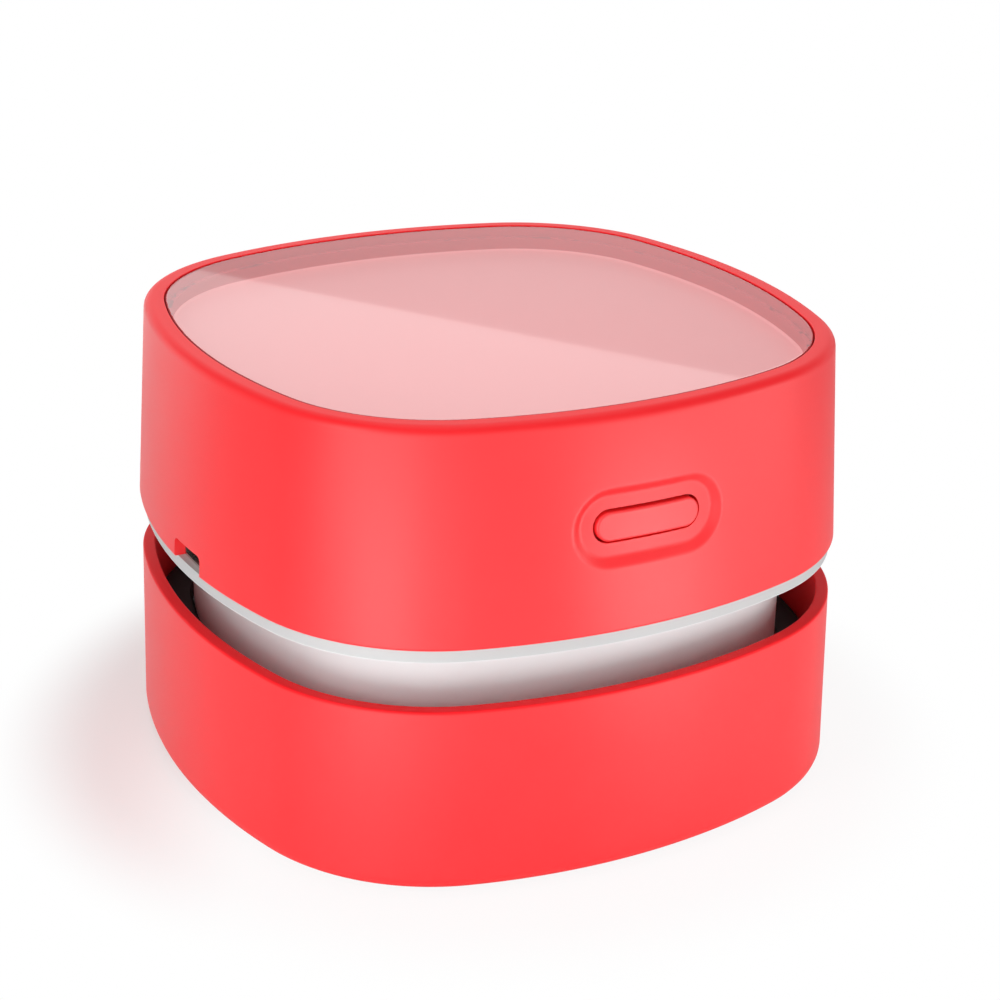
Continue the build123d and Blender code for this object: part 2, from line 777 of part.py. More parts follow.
with BuildPart() as filter_mesh:
    with BuildSketch(Plane.XY.offset(plug_z)):
        rounded_square(frame_inside_inset + fit_gap)
    extrude(amount=mesh_thickness)
filter_mesh.part.label = "filter_mesh"
export_step(filter_mesh.part, "parts/filter_mesh.step")

with BuildPart() as filter_sponge:
    with BuildSketch(Plane.XY.offset(plug_z + mesh_thickness)):
        rounded_square(frame_inside_inset + fit_gap)
    extrude(amount=sponge_thickness)
filter_sponge.part.label = "filter_sponge"
export_step(filter_sponge.part, "parts/filter_sponge.step")

# ================================================================ motor
magnet_radius = motor_radius - motor_shell
magnet_z = motor_z + magnet_margin
magnet_length = motor_length - 2 * magnet_margin
armature_radius = magnet_radius - magnet_thickness - armature_gap
armature_z = motor_z + armature_margin
armature_length = motor_length - 2 * armature_margin
commutator_z = armature_z + armature_length
brush_inner = commutator_radius + running_gap

with BuildPart() as motor_damper:
    with BuildSketch(Plane.XY.offset(housing_z)):
        Circle(motor_radius)
        Circle(motor_radius - damper_width, mode=Mode.SUBTRACT)
        with GridLocations(2 * motor_screw_spread, 1, 2, 1):
            Circle(screw_radius + clearance_gap, mode=Mode.SUBTRACT)
    extrude(amount=damper_thickness)
motor_damper.part.label = "motor_damper"
export_step(motor_damper.part, "parts/motor_damper.step")

with BuildPart() as motor_can:
    with BuildSketch(Plane.XY.offset(motor_z)):
        Circle(motor_radius)
    extrude(amount=motor_length)
    fillet(motor_can.edges().group_by(Axis.Z)[0], motor_shell / 2)
    with BuildSketch(Plane.XY.offset(motor_z + motor_shell)):
        Circle(magnet_radius)
    extrude(amount=motor_length, mode=Mode.SUBTRACT)
    with BuildSketch(Plane.XY.offset(motor_z)):
        Circle(motor_boss_radius)
    extrude(amount=-motor_boss_length)
    with BuildSketch(Plane.XY.offset(motor_z + motor_shell)):
        Circle(shaft_radius + bearing_gap)
    extrude(amount=-motor_shell - motor_boss_length, mode=Mode.SUBTRACT)
    with BuildSketch(Plane.XY.offset(motor_z)):
        with GridLocations(2 * motor_screw_spread, 1, 2, 1):
            Circle(screw_radius + bearing_gap)
    extrude(amount=motor_shell, mode=Mode.SUBTRACT)
motor_can.part.label = "motor_can"
export_step(motor_can.part, "parts/motor_can.step")

with BuildPart() as motor_end_cap:
    with BuildSketch(Plane.XY.offset(motor_top_z)):
        Circle(motor_radius)
    extrude(amount=end_cap_thickness)
    fillet(motor_end_cap.edges().group_by(Axis.Z)[-1], motor_shell / 2)
    with BuildSketch(Plane.XY.offset(motor_top_z)):
        Circle(magnet_radius - fit_gap)
    extrude(amount=-end_cap_spigot)
    with BuildSketch(Plane.XY.offset(end_cap_z)):
        Circle(motor_boss_radius)
    extrude(amount=end_cap_boss)
    with BuildSketch(Plane.XY.offset(motor_top_z - end_cap_spigot)):
        Circle(shaft_radius + bearing_gap)
    extrude(amount=end_cap_z + end_cap_boss - motor_top_z + end_cap_spigot, mode=Mode.SUBTRACT)
motor_end_cap.part.label = "motor_end_cap"
export_step(motor_end_cap.part, "parts/motor_end_cap.step")

with BuildPart() as motor_magnets:
    with BuildSketch(Plane.XY.offset(magnet_z)):
        for middle_angle in (90, 270):
            start = middle_angle - magnet_span / 2
            with BuildLine():
                outer = CenterArc((0, 0), magnet_radius, start, magnet_span)
                inner = CenterArc((0, 0), magnet_radius - magnet_thickness, start, magnet_span)
                Line(outer @ 0, inner @ 0)
                Line(outer @ 1, inner @ 1)
            make_face()
    extrude(amount=magnet_length)
motor_magnets.part.label = "motor_magnets"
export_step(motor_magnets.part, "parts/motor_magnets.step")

with BuildPart() as motor_shaft:
    with BuildSketch(Plane.XY.offset(fan_z)):
        Circle(shaft_radius)
    extrude(amount=shaft_top_z - fan_z)
    chamfer(motor_shaft.edges().group_by(Axis.Z)[-1], shaft_radius / 5)
motor_shaft.part.label = "motor_shaft"
export_step(motor_shaft.part, "parts/motor_shaft.step")

with BuildPart() as motor_armature:
    with BuildSketch(Plane.XY.offset(armature_z)):
        Circle(armature_radius)
        with PolarLocations(armature_radius - pole_slot_depth / 2, 3):
            Rectangle(pole_slot_depth, pole_slot, mode=Mode.SUBTRACT)
        Circle(shaft_radius + bearing_gap, mode=Mode.SUBTRACT)
    extrude(amount=armature_length)
motor_armature.part.label = "motor_armature"
export_step(motor_armature.part, "parts/motor_armature.step")

with BuildPart() as commutator:
    with BuildSketch(Plane.XY.offset(commutator_z)):
        Circle(commutator_radius)
        Circle(shaft_radius + bearing_gap, mode=Mode.SUBTRACT)
    extrude(amount=commutator_length)
commutator.part.label = "commutator"
export_step(commutator.part, "parts/commutator.step")

with BuildPart() as motor_brushes:
    with BuildSketch(Plane.XY.offset(motor_top_z - end_cap_spigot)):
        with GridLocations(2 * brush_inner + 2 * brush_block, 1, 2, 1):
            Rectangle(2 * brush_block, brush_block)
    extrude(amount=commutator_z - motor_top_z + end_cap_spigot)
motor_brushes.part.label = "motor_brushes"
export_step(motor_brushes.part, "parts/motor_brushes.step")

with BuildPart() as motor_terminals:
    with BuildSketch(Plane.XY.offset(end_cap_z)):
        with GridLocations(1, 2 * terminal_spread, 1, 2):
            Rectangle(terminal_width, terminal_thickness)
    extrude(amount=terminal_height)
motor_terminals.part.label = "motor_terminals"
export_step(motor_terminals.part, "parts/motor_terminals.step")

motor_screw = pan_head_screw(motor_screw_length)
with BuildPart() as motor_screws:
    with Locations(*seats(GridLocations(2 * motor_screw_spread, 1, 2, 1), deck_z + motor_screw_sink)):
        add(motor_screw)
motor_screws.part.label = "motor_screws"
export_step(motor_screws.part, "parts/motor_screws.step")

# ================================================================ battery
tab_face = battery_length / 2

with BuildPart() as battery_cell:
    with BuildSketch(side_plane(-battery_length / 2, battery_y, battery_z)):
        Circle(battery_radius)
    extrude(amount=battery_length)
    fillet(battery_cell.edges().filter_by(GeomType.CIRCLE), battery_round)
battery_cell.part.label = "battery_cell"
export_step(battery_cell.part, "parts/battery_cell.step")

with BuildPart() as battery_pad:
    with BuildSketch(Plane.XY.offset(housing_z)):
        with Locations((0, battery_y)):
            Rectangle(pad_length, pad_width)
    extrude(amount=pad_thickness)
battery_pad.part.label = "battery_pad"
export_step(battery_pad.part, "parts/battery_pad.step")

with BuildPart() as battery_tabs:
    with BuildSketch(side_plane(-tab_face, battery_y - tab_shift, battery_z + tab_height / 2)):
        with GridLocations(2 * tab_spread, 1, 2, 1):
            Rectangle(tab_width, tab_height)
    extrude(amount=-tab_thickness)
battery_tabs.part.label = "battery_tabs"
export_step(battery_tabs.part, "parts/battery_tabs.step")

# ================================================================ charging socket and board
socket_rear = socket_mouth - socket_length
socket_plane = side_plane(-socket_mouth, socket_y, socket_z)

with BuildPart() as usb_shell:
    with BuildSketch(socket_plane) as shell_outside:
        Rectangle(socket_width, socket_height, align=(Align.CENTER, Align.MIN))
        fillet(shell_outside.vertices().group_by(Axis.Y)[-1], socket_corner)
    extrude(amount=socket_length)
    with BuildSketch(socket_plane) as shell_inside:
        with Locations((0, socket_height / 2)):
            Rectangle(socket_width - 2 * socket_shell, socket_height - 2 * socket_shell)
        fillet(shell_inside.vertices().group_by(Axis.Y)[-1], socket_corner - socket_shell)
    extrude(amount=socket_length, mode=Mode.SUBTRACT)
usb_shell.part.label = "usb_shell"
export_step(usb_shell.part, "parts/usb_shell.step")

with BuildPart() as usb_tongue:
    with BuildSketch(side_plane(-socket_rear, socket_y, socket_z)):
        add(shell_inside.sketch_local)
    extrude(amount=-tongue_block)
    with BuildSketch(side_plane(-socket_rear, socket_y, socket_z + socket_height / 2)):
        Rectangle(tongue_width, tongue_thickness)
    extrude(amount=2 * socket_shell - socket_length)
usb_tongue.part.label = "usb_tongue"
export_step(usb_tongue.part, "parts/usb_tongue.step")

with BuildPart() as charge_board:
    with BuildSketch(Plane.XY.offset(board_z)):
        with Locations((-board_inner - board_length / 2, socket_y)):
            Rectangle(board_length, board_width)
        with Locations(*post_places):
            Circle(screw_radius + clearance_gap, mode=Mode.SUBTRACT)
    extrude(amount=board_thickness)
charge_board.part.label = "charge_board"
export_step(charge_board.part, "parts/charge_board.step")

with BuildPart() as board_coil:
    with BuildSketch(Plane.XY.offset(board_top_z)):
        with Locations(board_pad(post_inset, 0)):
            RectangleRounded(coil_size, coil_size, coil_size / 5)
    extrude(amount=coil_height)
board_coil.part.label = "board_coil"
export_step(board_coil.part, "parts/board_coil.step")

with BuildPart() as board_chips:
    with BuildSketch(Plane.XY.offset(board_top_z)):
        with Locations(board_pad(near_pad, 0)):
            Rectangle(chip_size, chip_size)
    extrude(amount=chip_height)
    with BuildSketch(Plane.XY.offset(board_top_z)):
        with Locations(board_pad(near_pad + chip_size / 2 + capacitor_size, 0)):
            Rectangle(capacitor_size, 2 * capacitor_size)
    extrude(amount=capacitor_height)
board_chips.part.label = "board_chips"
export_step(board_chips.part, "parts/board_chips.step")

board_screw = pan_head_screw(board_screw_length)
with BuildPart() as board_screws:
    with Locations(*[(x, y, board_top_z) for x, y in post_places]):
        add(board_screw)
board_screws.part.label = "board_screws"
export_step(board_screws.part, "parts/board_screws.step")

# ================================================================ power button and switch
with BuildPart() as power_button:
    with BuildSketch(front_plane(half)):
        SlotOverall(button_width, button_height)
    extrude(amount=half - flange_front)
    with BuildSketch(Plane.XY.offset(housing_z)):
        rounded_square(dish_depth - button_proud)
    extrude(amount=housing_height, taper=draft_angle, mode=Mode.INTERSECT)
    fillet(power_button.faces().sort_by(Axis.Y)[0].edges(), button_round)
    with BuildSketch(front_plane(flange_front)):
        SlotOverall(flange_length, flange_height)
    extrude(amount=flange_thickness)
    with BuildSketch(front_plane(flange_back)):
        Circle(stem_radius)
    extrude(amount=stem_length)
power_button.part.label = "power_button"
export_step(power_button.part, "parts/power_button.step")

with BuildPart() as switch_plunger:
    with BuildSketch(front_plane(plunger_front)):
        Rectangle(plunger_size, plunger_size)
    extrude(amount=plunger_out + plunger_in)
switch_plunger.part.label = "switch_plunger"
export_step(switch_plunger.part, "parts/switch_plunger.step")

with BuildPart() as switch_body:
    with BuildSketch(front_plane(switch_front)):
        Rectangle(switch_size, switch_size)
    extrude(amount=switch_depth)
    with BuildSketch(front_plane(switch_front)):
        Rectangle(plunger_size + 2 * contact_gap, plunger_size + 2 * contact_gap)
    extrude(amount=plunger_in + button_travel + running_gap, mode=Mode.SUBTRACT)
switch_body.part.label = "switch_body"
export_step(switch_body.part, "parts/switch_body.step")

with BuildPart() as switch_board:
    with BuildSketch(front_plane(switch_board_front)):
        Rectangle(switch_board_width, switch_board_height)
        with GridLocations(2 * pillar_spread, 1, 2, 1):
            Circle(screw_radius + clearance_gap, mode=Mode.SUBTRACT)
    extrude(amount=board_thickness)
switch_board.part.label = "switch_board"
export_step(switch_board.part, "parts/switch_board.step")

switch_screw = pan_head_screw(switch_screw_length)
switch_seats = [
    Plane((x, -switch_board_front, button_z), x_dir=(1, 0, 0), z_dir=(0, -1, 0))
    for x in (-pillar_spread, pillar_spread)
]
with BuildPart() as switch_screws:
    with Locations(*switch_seats):
        add(switch_screw)
switch_screws.part.label = "switch_screws"
export_step(switch_screws.part, "parts/switch_screws.step")

# ================================================================ leads
lead_lift = Vector(0, 0, lead_rise)
terminal_z = end_cap_z + terminal_height / 2
motor_bend_x = -motor_radius - side_pad

motor_lead_routes = []
for side in (-1, 1):
    motor_end = board_pad(motor_pad, side * motor_pad_side)
    motor_lead_routes.append([
        Vector(-terminal_width / 2, side * terminal_spread, terminal_z),
        Vector(motor_bend_x, side * terminal_spread, terminal_z),
        Vector(motor_end.X, motor_end.Y, terminal_z - lead_rise / 2),
        motor_end,
    ])

battery_lead_routes = []
for pad, side in ((near_pad, -1), (far_pad, 1)):
    battery_end = board_pad(pad, side_pad)
    tab_middle = Vector(
        -tab_face - tab_thickness, battery_y - tab_shift + side * tab_spread, battery_z + tab_height / 2
    )
    battery_lead_routes.append([
        tab_middle,
        Vector(battery_end.X, tab_middle.Y, tab_middle.Z),
        battery_end + lead_lift,
        battery_end,
    ])

switch_lane = pillar_size + side_pad / 2 - switch_board_back
switch_lead_routes = []
for pad, end_x, climb in ((near_pad, -pillar_spread / 2, 0), (far_pad, pillar_spread / 2, side_pad)):
    switch_start = board_pad(pad, -side_pad)
    lead_z = board_top_z + lead_rise + climb
    switch_lead_routes.append([
        switch_start,
        Vector(switch_start.X, switch_start.Y, lead_z),
        Vector(-switch_board_width, switch_lane, lead_z),
        Vector(end_x, switch_lane - 2 * lead_radius, lead_z),
        Vector(end_x, -switch_board_back, lead_z),
    ])

motor_wires = [bent_lead(route) for route in motor_lead_routes]
with BuildPart() as motor_leads:
    add(motor_wires)
motor_leads.part.label = "motor_leads"
export_step(motor_leads.part, "parts/motor_leads.step")

battery_wires = [bent_lead(route) for route in battery_lead_routes]
with BuildPart() as battery_leads:
    add(battery_wires)
battery_leads.part.label = "battery_leads"
export_step(battery_leads.part, "parts/battery_leads.step")

switch_wires = [bent_lead(route) for route in switch_lead_routes]
with BuildPart() as switch_leads:
    add(switch_wires)
switch_leads.part.label = "switch_leads"
export_step(switch_leads.part, "parts/switch_leads.step")
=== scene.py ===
import json
from math import atan2, cos, pi, radians, sin, sqrt, tan

import bmesh
import bpy
from mathutils import Matrix, Vector


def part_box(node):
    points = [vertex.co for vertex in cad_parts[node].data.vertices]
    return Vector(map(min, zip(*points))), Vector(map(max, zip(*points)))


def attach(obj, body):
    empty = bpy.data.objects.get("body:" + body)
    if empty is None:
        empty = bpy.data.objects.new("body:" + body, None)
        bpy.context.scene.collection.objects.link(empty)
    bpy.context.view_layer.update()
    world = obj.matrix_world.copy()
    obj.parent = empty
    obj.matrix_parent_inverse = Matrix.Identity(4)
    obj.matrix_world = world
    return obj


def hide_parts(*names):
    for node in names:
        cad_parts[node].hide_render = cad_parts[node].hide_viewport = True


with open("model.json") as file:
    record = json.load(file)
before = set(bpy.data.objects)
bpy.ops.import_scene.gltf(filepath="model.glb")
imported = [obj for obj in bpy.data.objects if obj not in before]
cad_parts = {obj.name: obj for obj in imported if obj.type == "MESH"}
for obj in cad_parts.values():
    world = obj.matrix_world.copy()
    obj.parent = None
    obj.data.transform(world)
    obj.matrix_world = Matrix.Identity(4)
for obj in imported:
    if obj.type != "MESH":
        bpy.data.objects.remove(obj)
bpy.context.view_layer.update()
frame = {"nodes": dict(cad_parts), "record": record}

# The dressed desktop vacuum, in metres. The button faces -Y and the charging socket faces -X.
# Shells are skins of rings: a row of a shell is an inset from the body outline, or a radius, with a height.

MM = 0.001

# ---------------------------------------------------------------- body outline
DECK_INSET = 0.5 * MM
SIDE_RADIUS = 76.0 * MM
CORNER_RADIUS = 26.0 * MM
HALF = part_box("core_frame")[1].x + DECK_INSET
SIDE_CENTRE = HALF - SIDE_RADIUS
CORNER_CENTRE = (SIDE_CENTRE + sqrt(2 * (SIDE_RADIUS - CORNER_RADIUS) ** 2 - SIDE_CENTRE**2)) / 2
SIDE_HALF_ANGLE = atan2(CORNER_CENTRE, CORNER_CENTRE - SIDE_CENTRE)

SIDE_STEPS = 48
FINE_SIDE_STEPS = 224
CORNER_STEPS = 32

# ---------------------------------------------------------------- edges
ARC_STEPS = 6
EDGE_HOLD = 0.25 * MM
HOLD_SHARE = 0.4
SMOOTH_ANGLE = radians(40)
EDGE = 0.12 * MM
LIP_EDGE = 0.22 * MM

# ---------------------------------------------------------------- upper housing
HOUSING_WALL = 1.8 * MM
HOUSING_DRAFT = 1.675 * MM
RIM_ROUND = 1.15 * MM
SKIRT_ROUND = 0.25 * MM
WINDOW_INSET = 4.2 * MM
TRAY_LEDGE_WIDTH = 1.6 * MM
TRAY_LEDGE_THICKNESS = 1.2 * MM
FIT_GAP = 0.15 * MM
RUNNING_GAP = 0.3 * MM

BUTTON_WIDTH = 13.5 * MM
BUTTON_HEIGHT = 3.5 * MM
DISH_LENGTH = 19.6 * MM
DISH_HEIGHT = 9.4 * MM
DISH_DEPTH = 0.8 * MM
DISH_BEVEL = 1.0 * MM
DISH_SOFTNESS = 0.2
DISH_PITCH = 0.19 * MM
DISH_MARGIN = 1.0 * MM

SOCKET_Y = -3.6 * MM
NOTCH_WIDTH = 7.5 * MM
NOTCH_HEIGHT = 2.6 * MM
NOTCH_ROUND = 0.8 * MM

TRAY_FLOOR = 1.2 * MM
TRAY_WALL = 0.8 * MM
TRAY_ROUND = 0.45 * MM
TRAY_STEEPNESS = 0.5
WINDOW_ROUND = 0.2 * MM
WINDOW_STEEPNESS = 0.97

# ---------------------------------------------------------------- dust cup and brush chamber
CUP_RIM_INSET = 0.1 * MM
CUP_FLARE = 0.6 * MM
CUP_LIP = 1.6 * MM
CUP_FLOOR = 1.6 * MM
CUP_BASE_ROUND = 1.6 * MM
CUP_FLOOR_ROUND = 1.4 * MM
LEDGE_WIDTH = 1.2 * MM
LEDGE_THICKNESS = 1.5 * MM
FLOOR_INSET = 9.0 * MM
PAN_RADIUS = 27.0 * MM
FOOT_RADIUS = 4.0 * MM
FOOT_RECESS = 0.4 * MM

# ---------------------------------------------------------------- brush and filter mesh
TUFT_ROW_OFFSET = 3.0 * MM
OUTER_TUFTS = 36
INNER_TUFTS = 28
TUFT_SPREAD = 0.62 * MM
FILAMENTS = 17
FILAMENT_RADIUS = 0.1 * MM
FILAMENT_SPLAY = 0.16
FILAMENT_STRAY = 0.05
GOLDEN_ANGLE = pi * (3 - sqrt(5))

MESH_PITCH = 0.9 * MM
WIRE_RADIUS = 0.14 * MM


# ================================================================ rings, rows and skins
class Station:
    """One direction round the body: the outline's arc there, and the bearing of its point from the axis."""

    def __init__(self, centre, radius, angle):
        self.centre = centre
        self.radius = radius
        self.direction = Vector((cos(angle), sin(angle)))
        self.bearing = self.square(0).normalized()

    def square(self, inset):
        return self.centre + self.direction * (self.radius - inset)


def spread(start, stop, steps):
    """Evenly spaced numbers from start up to, but not including, stop."""
    return [start + (stop - start) * step / steps for step in range(steps)]


def outline_stations(fine_side=None):
    """Stations round the body outline. The side whose number is given, counted from +X, has more of them."""
    stations = []
    for side in range(4):
        turn = side * pi / 2
        side_centre = Vector((cos(turn), sin(turn))) * SIDE_CENTRE
        corner_centre = Vector((cos(turn + pi / 4), sin(turn + pi / 4))) * CORNER_CENTRE * sqrt(2)
        steps = FINE_SIDE_STEPS if side == fine_side else SIDE_STEPS
        for angle in spread(turn - SIDE_HALF_ANGLE, turn + SIDE_HALF_ANGLE, steps):
            stations.append(Station(side_centre, SIDE_RADIUS, angle))
        for angle in spread(turn + SIDE_HALF_ANGLE, turn + pi / 2 - SIDE_HALF_ANGLE, CORNER_STEPS):
            stations.append(Station(corner_centre, CORNER_RADIUS, angle))
    return stations


def soften(corners):
    """Rounds the corners of a profile. A corner is (offset, height, radius of its round)."""
    points = []
    for index, (offset, height, radius) in enumerate(corners):
        corner = Vector((offset, height))
        if radius == 0:
            points.append(corner)
            continue
        arms = [Vector(corners[other % len(corners)][:2]) - corner for other in (index - 1, index + 1)]
        half_turn = arms[0].angle(arms[1]) / 2
        reach = radius / tan(half_turn)
        middle = (arms[0].normalized() + arms[1].normalized()).normalized()
        centre = corner + middle * radius / sin(half_turn)
        ends = [corner + arm.normalized() * reach for arm in arms]
        holds = [
            end + arm.normalized() * min(EDGE_HOLD, HOLD_SHARE * (arm.length - reach))
            for end, arm in zip(ends, arms)
        ]
        points.append(holds[0])
        for step in range(ARC_STEPS + 1):
            points.append(centre + (ends[0] - centre).slerp(ends[1] - centre, step / ARC_STEPS) * radius)
        points.append(holds[1])
    return points


def square_rows(corners):
    return [("square", *point) for point in soften(corners)]


def finish_mesh(mesh):
    """Turns the faces outwards, smooths them and keeps the true edges sharp."""
    work = bmesh.new()
    work.from_mesh(mesh)
    bmesh.ops.recalc_face_normals(work, faces=work.faces)
    work.to_mesh(mesh)
    work.free()
    mesh.shade_smooth()
    mesh.set_sharp_from_angle(angle=SMOOTH_ANGLE)


def make_object(name, vertices, faces):
    mesh = bpy.data.meshes.new(name)
    mesh.from_pydata(vertices, [], faces)
    piece = bpy.data.objects.new(name, mesh)
    bpy.context.scene.collection.objects.link(piece)
    return piece


def skin(name, rows, stations, closed=True, press=None):
    """A skin with one ring of points for each row. Rows that don't close on themselves get flat caps."""
    vertices = []
    for kind, offset, height in rows:
        for station in stations:
            if kind == "round":
                spot = station.bearing * offset
            elif press:
                spot = station.square(press(station, offset, height))
            else:
                spot = station.square(offset)
            vertices.append((*spot, height))
    across = len(stations)
    bands = len(rows) if closed else len(rows) - 1
    faces = []
    for row in range(bands):
        low = row * across
        high = (row + 1) % len(rows) * across
        for step in range(across):
            beside = (step + 1) % across
            faces.append((low + step, low + beside, high + beside, high + step))
    if not closed:
        faces.append(tuple(range(across)))
        faces.append(tuple(range(len(vertices) - across, len(vertices))))
    piece = make_object(name, vertices, faces)
    finish_mesh(piece.data)
    return piece


def prism(name, outline, start, end):
    """A straight prism. The outline's points lie in the plane through start, square to the way to end."""
    way = end - start
    vertices = [tuple(start + point) for point in outline] + [tuple(start + point + way) for point in outline]
    count = len(outline)
    faces = [(i, (i + 1) % count, (i + 1) % count + count, i + count) for i in range(count)]
    faces.append(tuple(range(count)))
    faces.append(tuple(range(count, 2 * count)))
    piece = make_object(name, vertices, faces)
    finish_mesh(piece.data)
    return piece


def bake(piece):
    """Replaces the mesh by what its modifiers make of it, and takes the modifiers off."""
    evaluated = piece.evaluated_get(bpy.context.evaluated_depsgraph_get())
    piece.data = bpy.data.meshes.new_from_object(evaluated)
    piece.modifiers.clear()


def combine(piece, others, operation):
    """Cuts the others out of the piece, or joins them to it, and removes them."""
    for other in others:
        modifier = piece.modifiers.new("combine", "BOOLEAN")
        modifier.operation = operation
        modifier.solver = "EXACT"
        modifier.object = other
    bake(piece)
    finish_mesh(piece.data)
    for other in others:
        bpy.data.objects.remove(other)


def paint_sides(piece, plain, side, steepness, level=1.0):
    """Gives the piece one finish on its level faces, and another on steeper ones and those above a level,
    which carries painted shade or a painted groove shadow.
    """
    piece.data.materials.append(plain)
    piece.data.materials.append(side)
    for face in piece.data.polygons:
        face.material_index = int(abs(face.normal.z) < steepness or face.center.z > level)


def dress(piece, body, node, slot):
    """Gives a finished piece its finish if it has none, puts it in its body, and hides the node that it
    stands for.
    """
    if not piece.data.materials:
        piece.data.materials.append(finishes[slot])
    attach(piece, body)
    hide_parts(node)


# ================================================================ node trees
class Value:
    """A socket of a node tree. Its operators add Math nodes."""

    def __init__(self, graph, socket):
        self.graph = graph
        self.socket = socket

    def __getitem__(self, name):
        return Value(self.graph, self.socket.node.outputs[name])

    def __add__(self, other):
        return self.graph.math("ADD", self, other)

    def __radd__(self, other):
        return self.graph.math("ADD", other, self)

    def __sub__(self, other):
        return self.graph.math("SUBTRACT", self, other)

    def __rsub__(self, other):
        return self.graph.math("SUBTRACT", other, self)

    def __mul__(self, other):
        return self.graph.math("MULTIPLY", self, other)

    def __rmul__(self, other):
        return self.graph.math("MULTIPLY", other, self)

    def __truediv__(self, other):
        return self.graph.math("DIVIDE", self, other)

    def __rtruediv__(self, other):
        return self.graph.math("DIVIDE", other, self)


class Graph:
    """A node tree under construction, for a material, the world or a pattern of geometry."""

    def __init__(self, tree):
        self.tree = tree

    def add(self, kind, settings=None, sockets=None, out=0):
        """Adds a node: its settings first, then the values or links of its sockets. Gives one output."""
        node = self.tree.nodes.new(kind)
        for name, value in (settings or {}).items():
            setattr(node, name, value)
        for name, value in (sockets or {}).items():
            socket = node.inputs[name]
            if isinstance(value, Value):
                self.tree.links.new(value.socket, socket)
            elif socket.type == "RGBA" and len(value) == 3:
                socket.default_value = (*value, 1)
            else:
                socket.default_value = value
        return Value(self, node.outputs[out]) if node.outputs else None

    def math(self, operation, *values):
        return self.add("ShaderNodeMath", {"operation": operation}, dict(enumerate(values)))

    def mix(self, factor, first, second):
        return self.add("ShaderNodeMix", {"data_type": "RGBA"}, {0: factor, 6: first, 7: second}, out=2)

    def noise(self, vector, size, detail=2.0):
        """Noise from 0 to 1 whose features are about size across."""
        sockets = {"Vector": vector, "Scale": 1 / size, "Detail": detail}
        return self.add("ShaderNodeTexNoise", {}, sockets)

    def ease(self, value, low, high):
        """A smooth step from 0 at low to 1 at high."""
        sockets = {"Value": value, "From Min": low, "From Max": high}
        return self.add("ShaderNodeMapRange", {"interpolation_type": "SMOOTHSTEP"}, sockets)

    def place(self):
        return self.add("ShaderNodeTexCoord", out="Object")

    def bump(self, height, depth):
        return self.add("ShaderNodeBump", {}, {"Height": height, "Distance": depth, "Strength": 1.0})


def new_material(name):
    material = bpy.data.materials.new(name)
    material.use_nodes = True
    material.node_tree.nodes.clear()
    return material, Graph(material.node_tree)


def close_material(graph, shader):
    graph.add("ShaderNodeOutputMaterial", {}, {"Surface": shader})


def lighter(colour, share):
    """The colour moved towards white by a share, or towards black by a negative one."""
    target = 1 if share > 0 else 0
    return tuple(part + (target - part) * abs(share) for part in colour)


# ================================================================ finishes
def moulded_plastic(
    name, colour, roughness, specular=0.5, grain=0.14 * MM, relief=4e-6, mottle=0.02, upper=None
):
    """Injection-moulded plastic with a fine spark-eroded texture and a faint uneven tone.

    A shaded copy can be given as the colour, the specular level and the two heights between which it takes
    over, as painted shade above them.
    """
    material, graph = new_material(name)
    place = graph.place()
    speckle = graph.noise(place, grain, 1.0)
    cloud = graph.noise(place, 14 * MM, 3.0)

    def plastic(tint, gloss):
        return graph.add("ShaderNodeBsdfPrincipled", {}, {
            "Base Color": graph.mix(cloud, lighter(tint, -mottle), lighter(tint, mottle)),
            "Roughness": roughness + 0.08 * (cloud - 0.5) + 0.1 * (speckle - 0.5),
            "Specular IOR Level": gloss,
            "Normal": graph.bump(speckle, relief),
        })

    shader = plastic(colour, specular)
    # Above the given heights, a copy of the finish with painted shade takes over.
    if upper:
        tint, gloss, low, high = upper
        height = graph.add("ShaderNodeSeparateXYZ", {}, {0: place}, out="Z")
        over = graph.ease(height, low, high)
        shader = graph.add("ShaderNodeMixShader", {}, {0: over, 1: shader, 2: plastic(tint, gloss)})
    close_material(graph, shader)
    return material


def soft_rubber(name, colour, roughness, relief=6e-6):
    """Matt rubber or foam: a fine pored skin that picks up a little dust."""
    material, graph = new_material(name)
    place = graph.place()
    pores = graph.add("ShaderNodeTexVoronoi", {}, {"Vector": place, "Scale": 1 / (0.3 * MM)})
    dust = graph.ease(graph.noise(place, 4 * MM, 4.0), 0.5, 0.8)
    shader = graph.add("ShaderNodeBsdfPrincipled", {}, {
        "Base Color": graph.mix(dust, colour, lighter(colour, 0.015)),
        "Roughness": roughness + 0.1 * (dust - 0.5),
        "Specular IOR Level": 0.2,
        "Normal": graph.bump(pores, relief),
    })
    close_material(graph, shader)
    return material


def silicone(name, colour):
    """Translucent silicone: light passes a little way into it."""
    material, graph = new_material(name)
    place = graph.place()
    haze = graph.noise(place, 1.2 * MM, 3.0)
    shader = graph.add("ShaderNodeBsdfPrincipled", {}, {
        "Base Color": graph.mix(haze, lighter(colour, -0.05), colour),
        "Roughness": 0.38 + 0.12 * haze,
        "Subsurface Weight": 0.5,
        "Subsurface Scale": 1.5 * MM,
        "Normal": graph.bump(haze, 4e-6),
    })
    close_material(graph, shader)
    return material


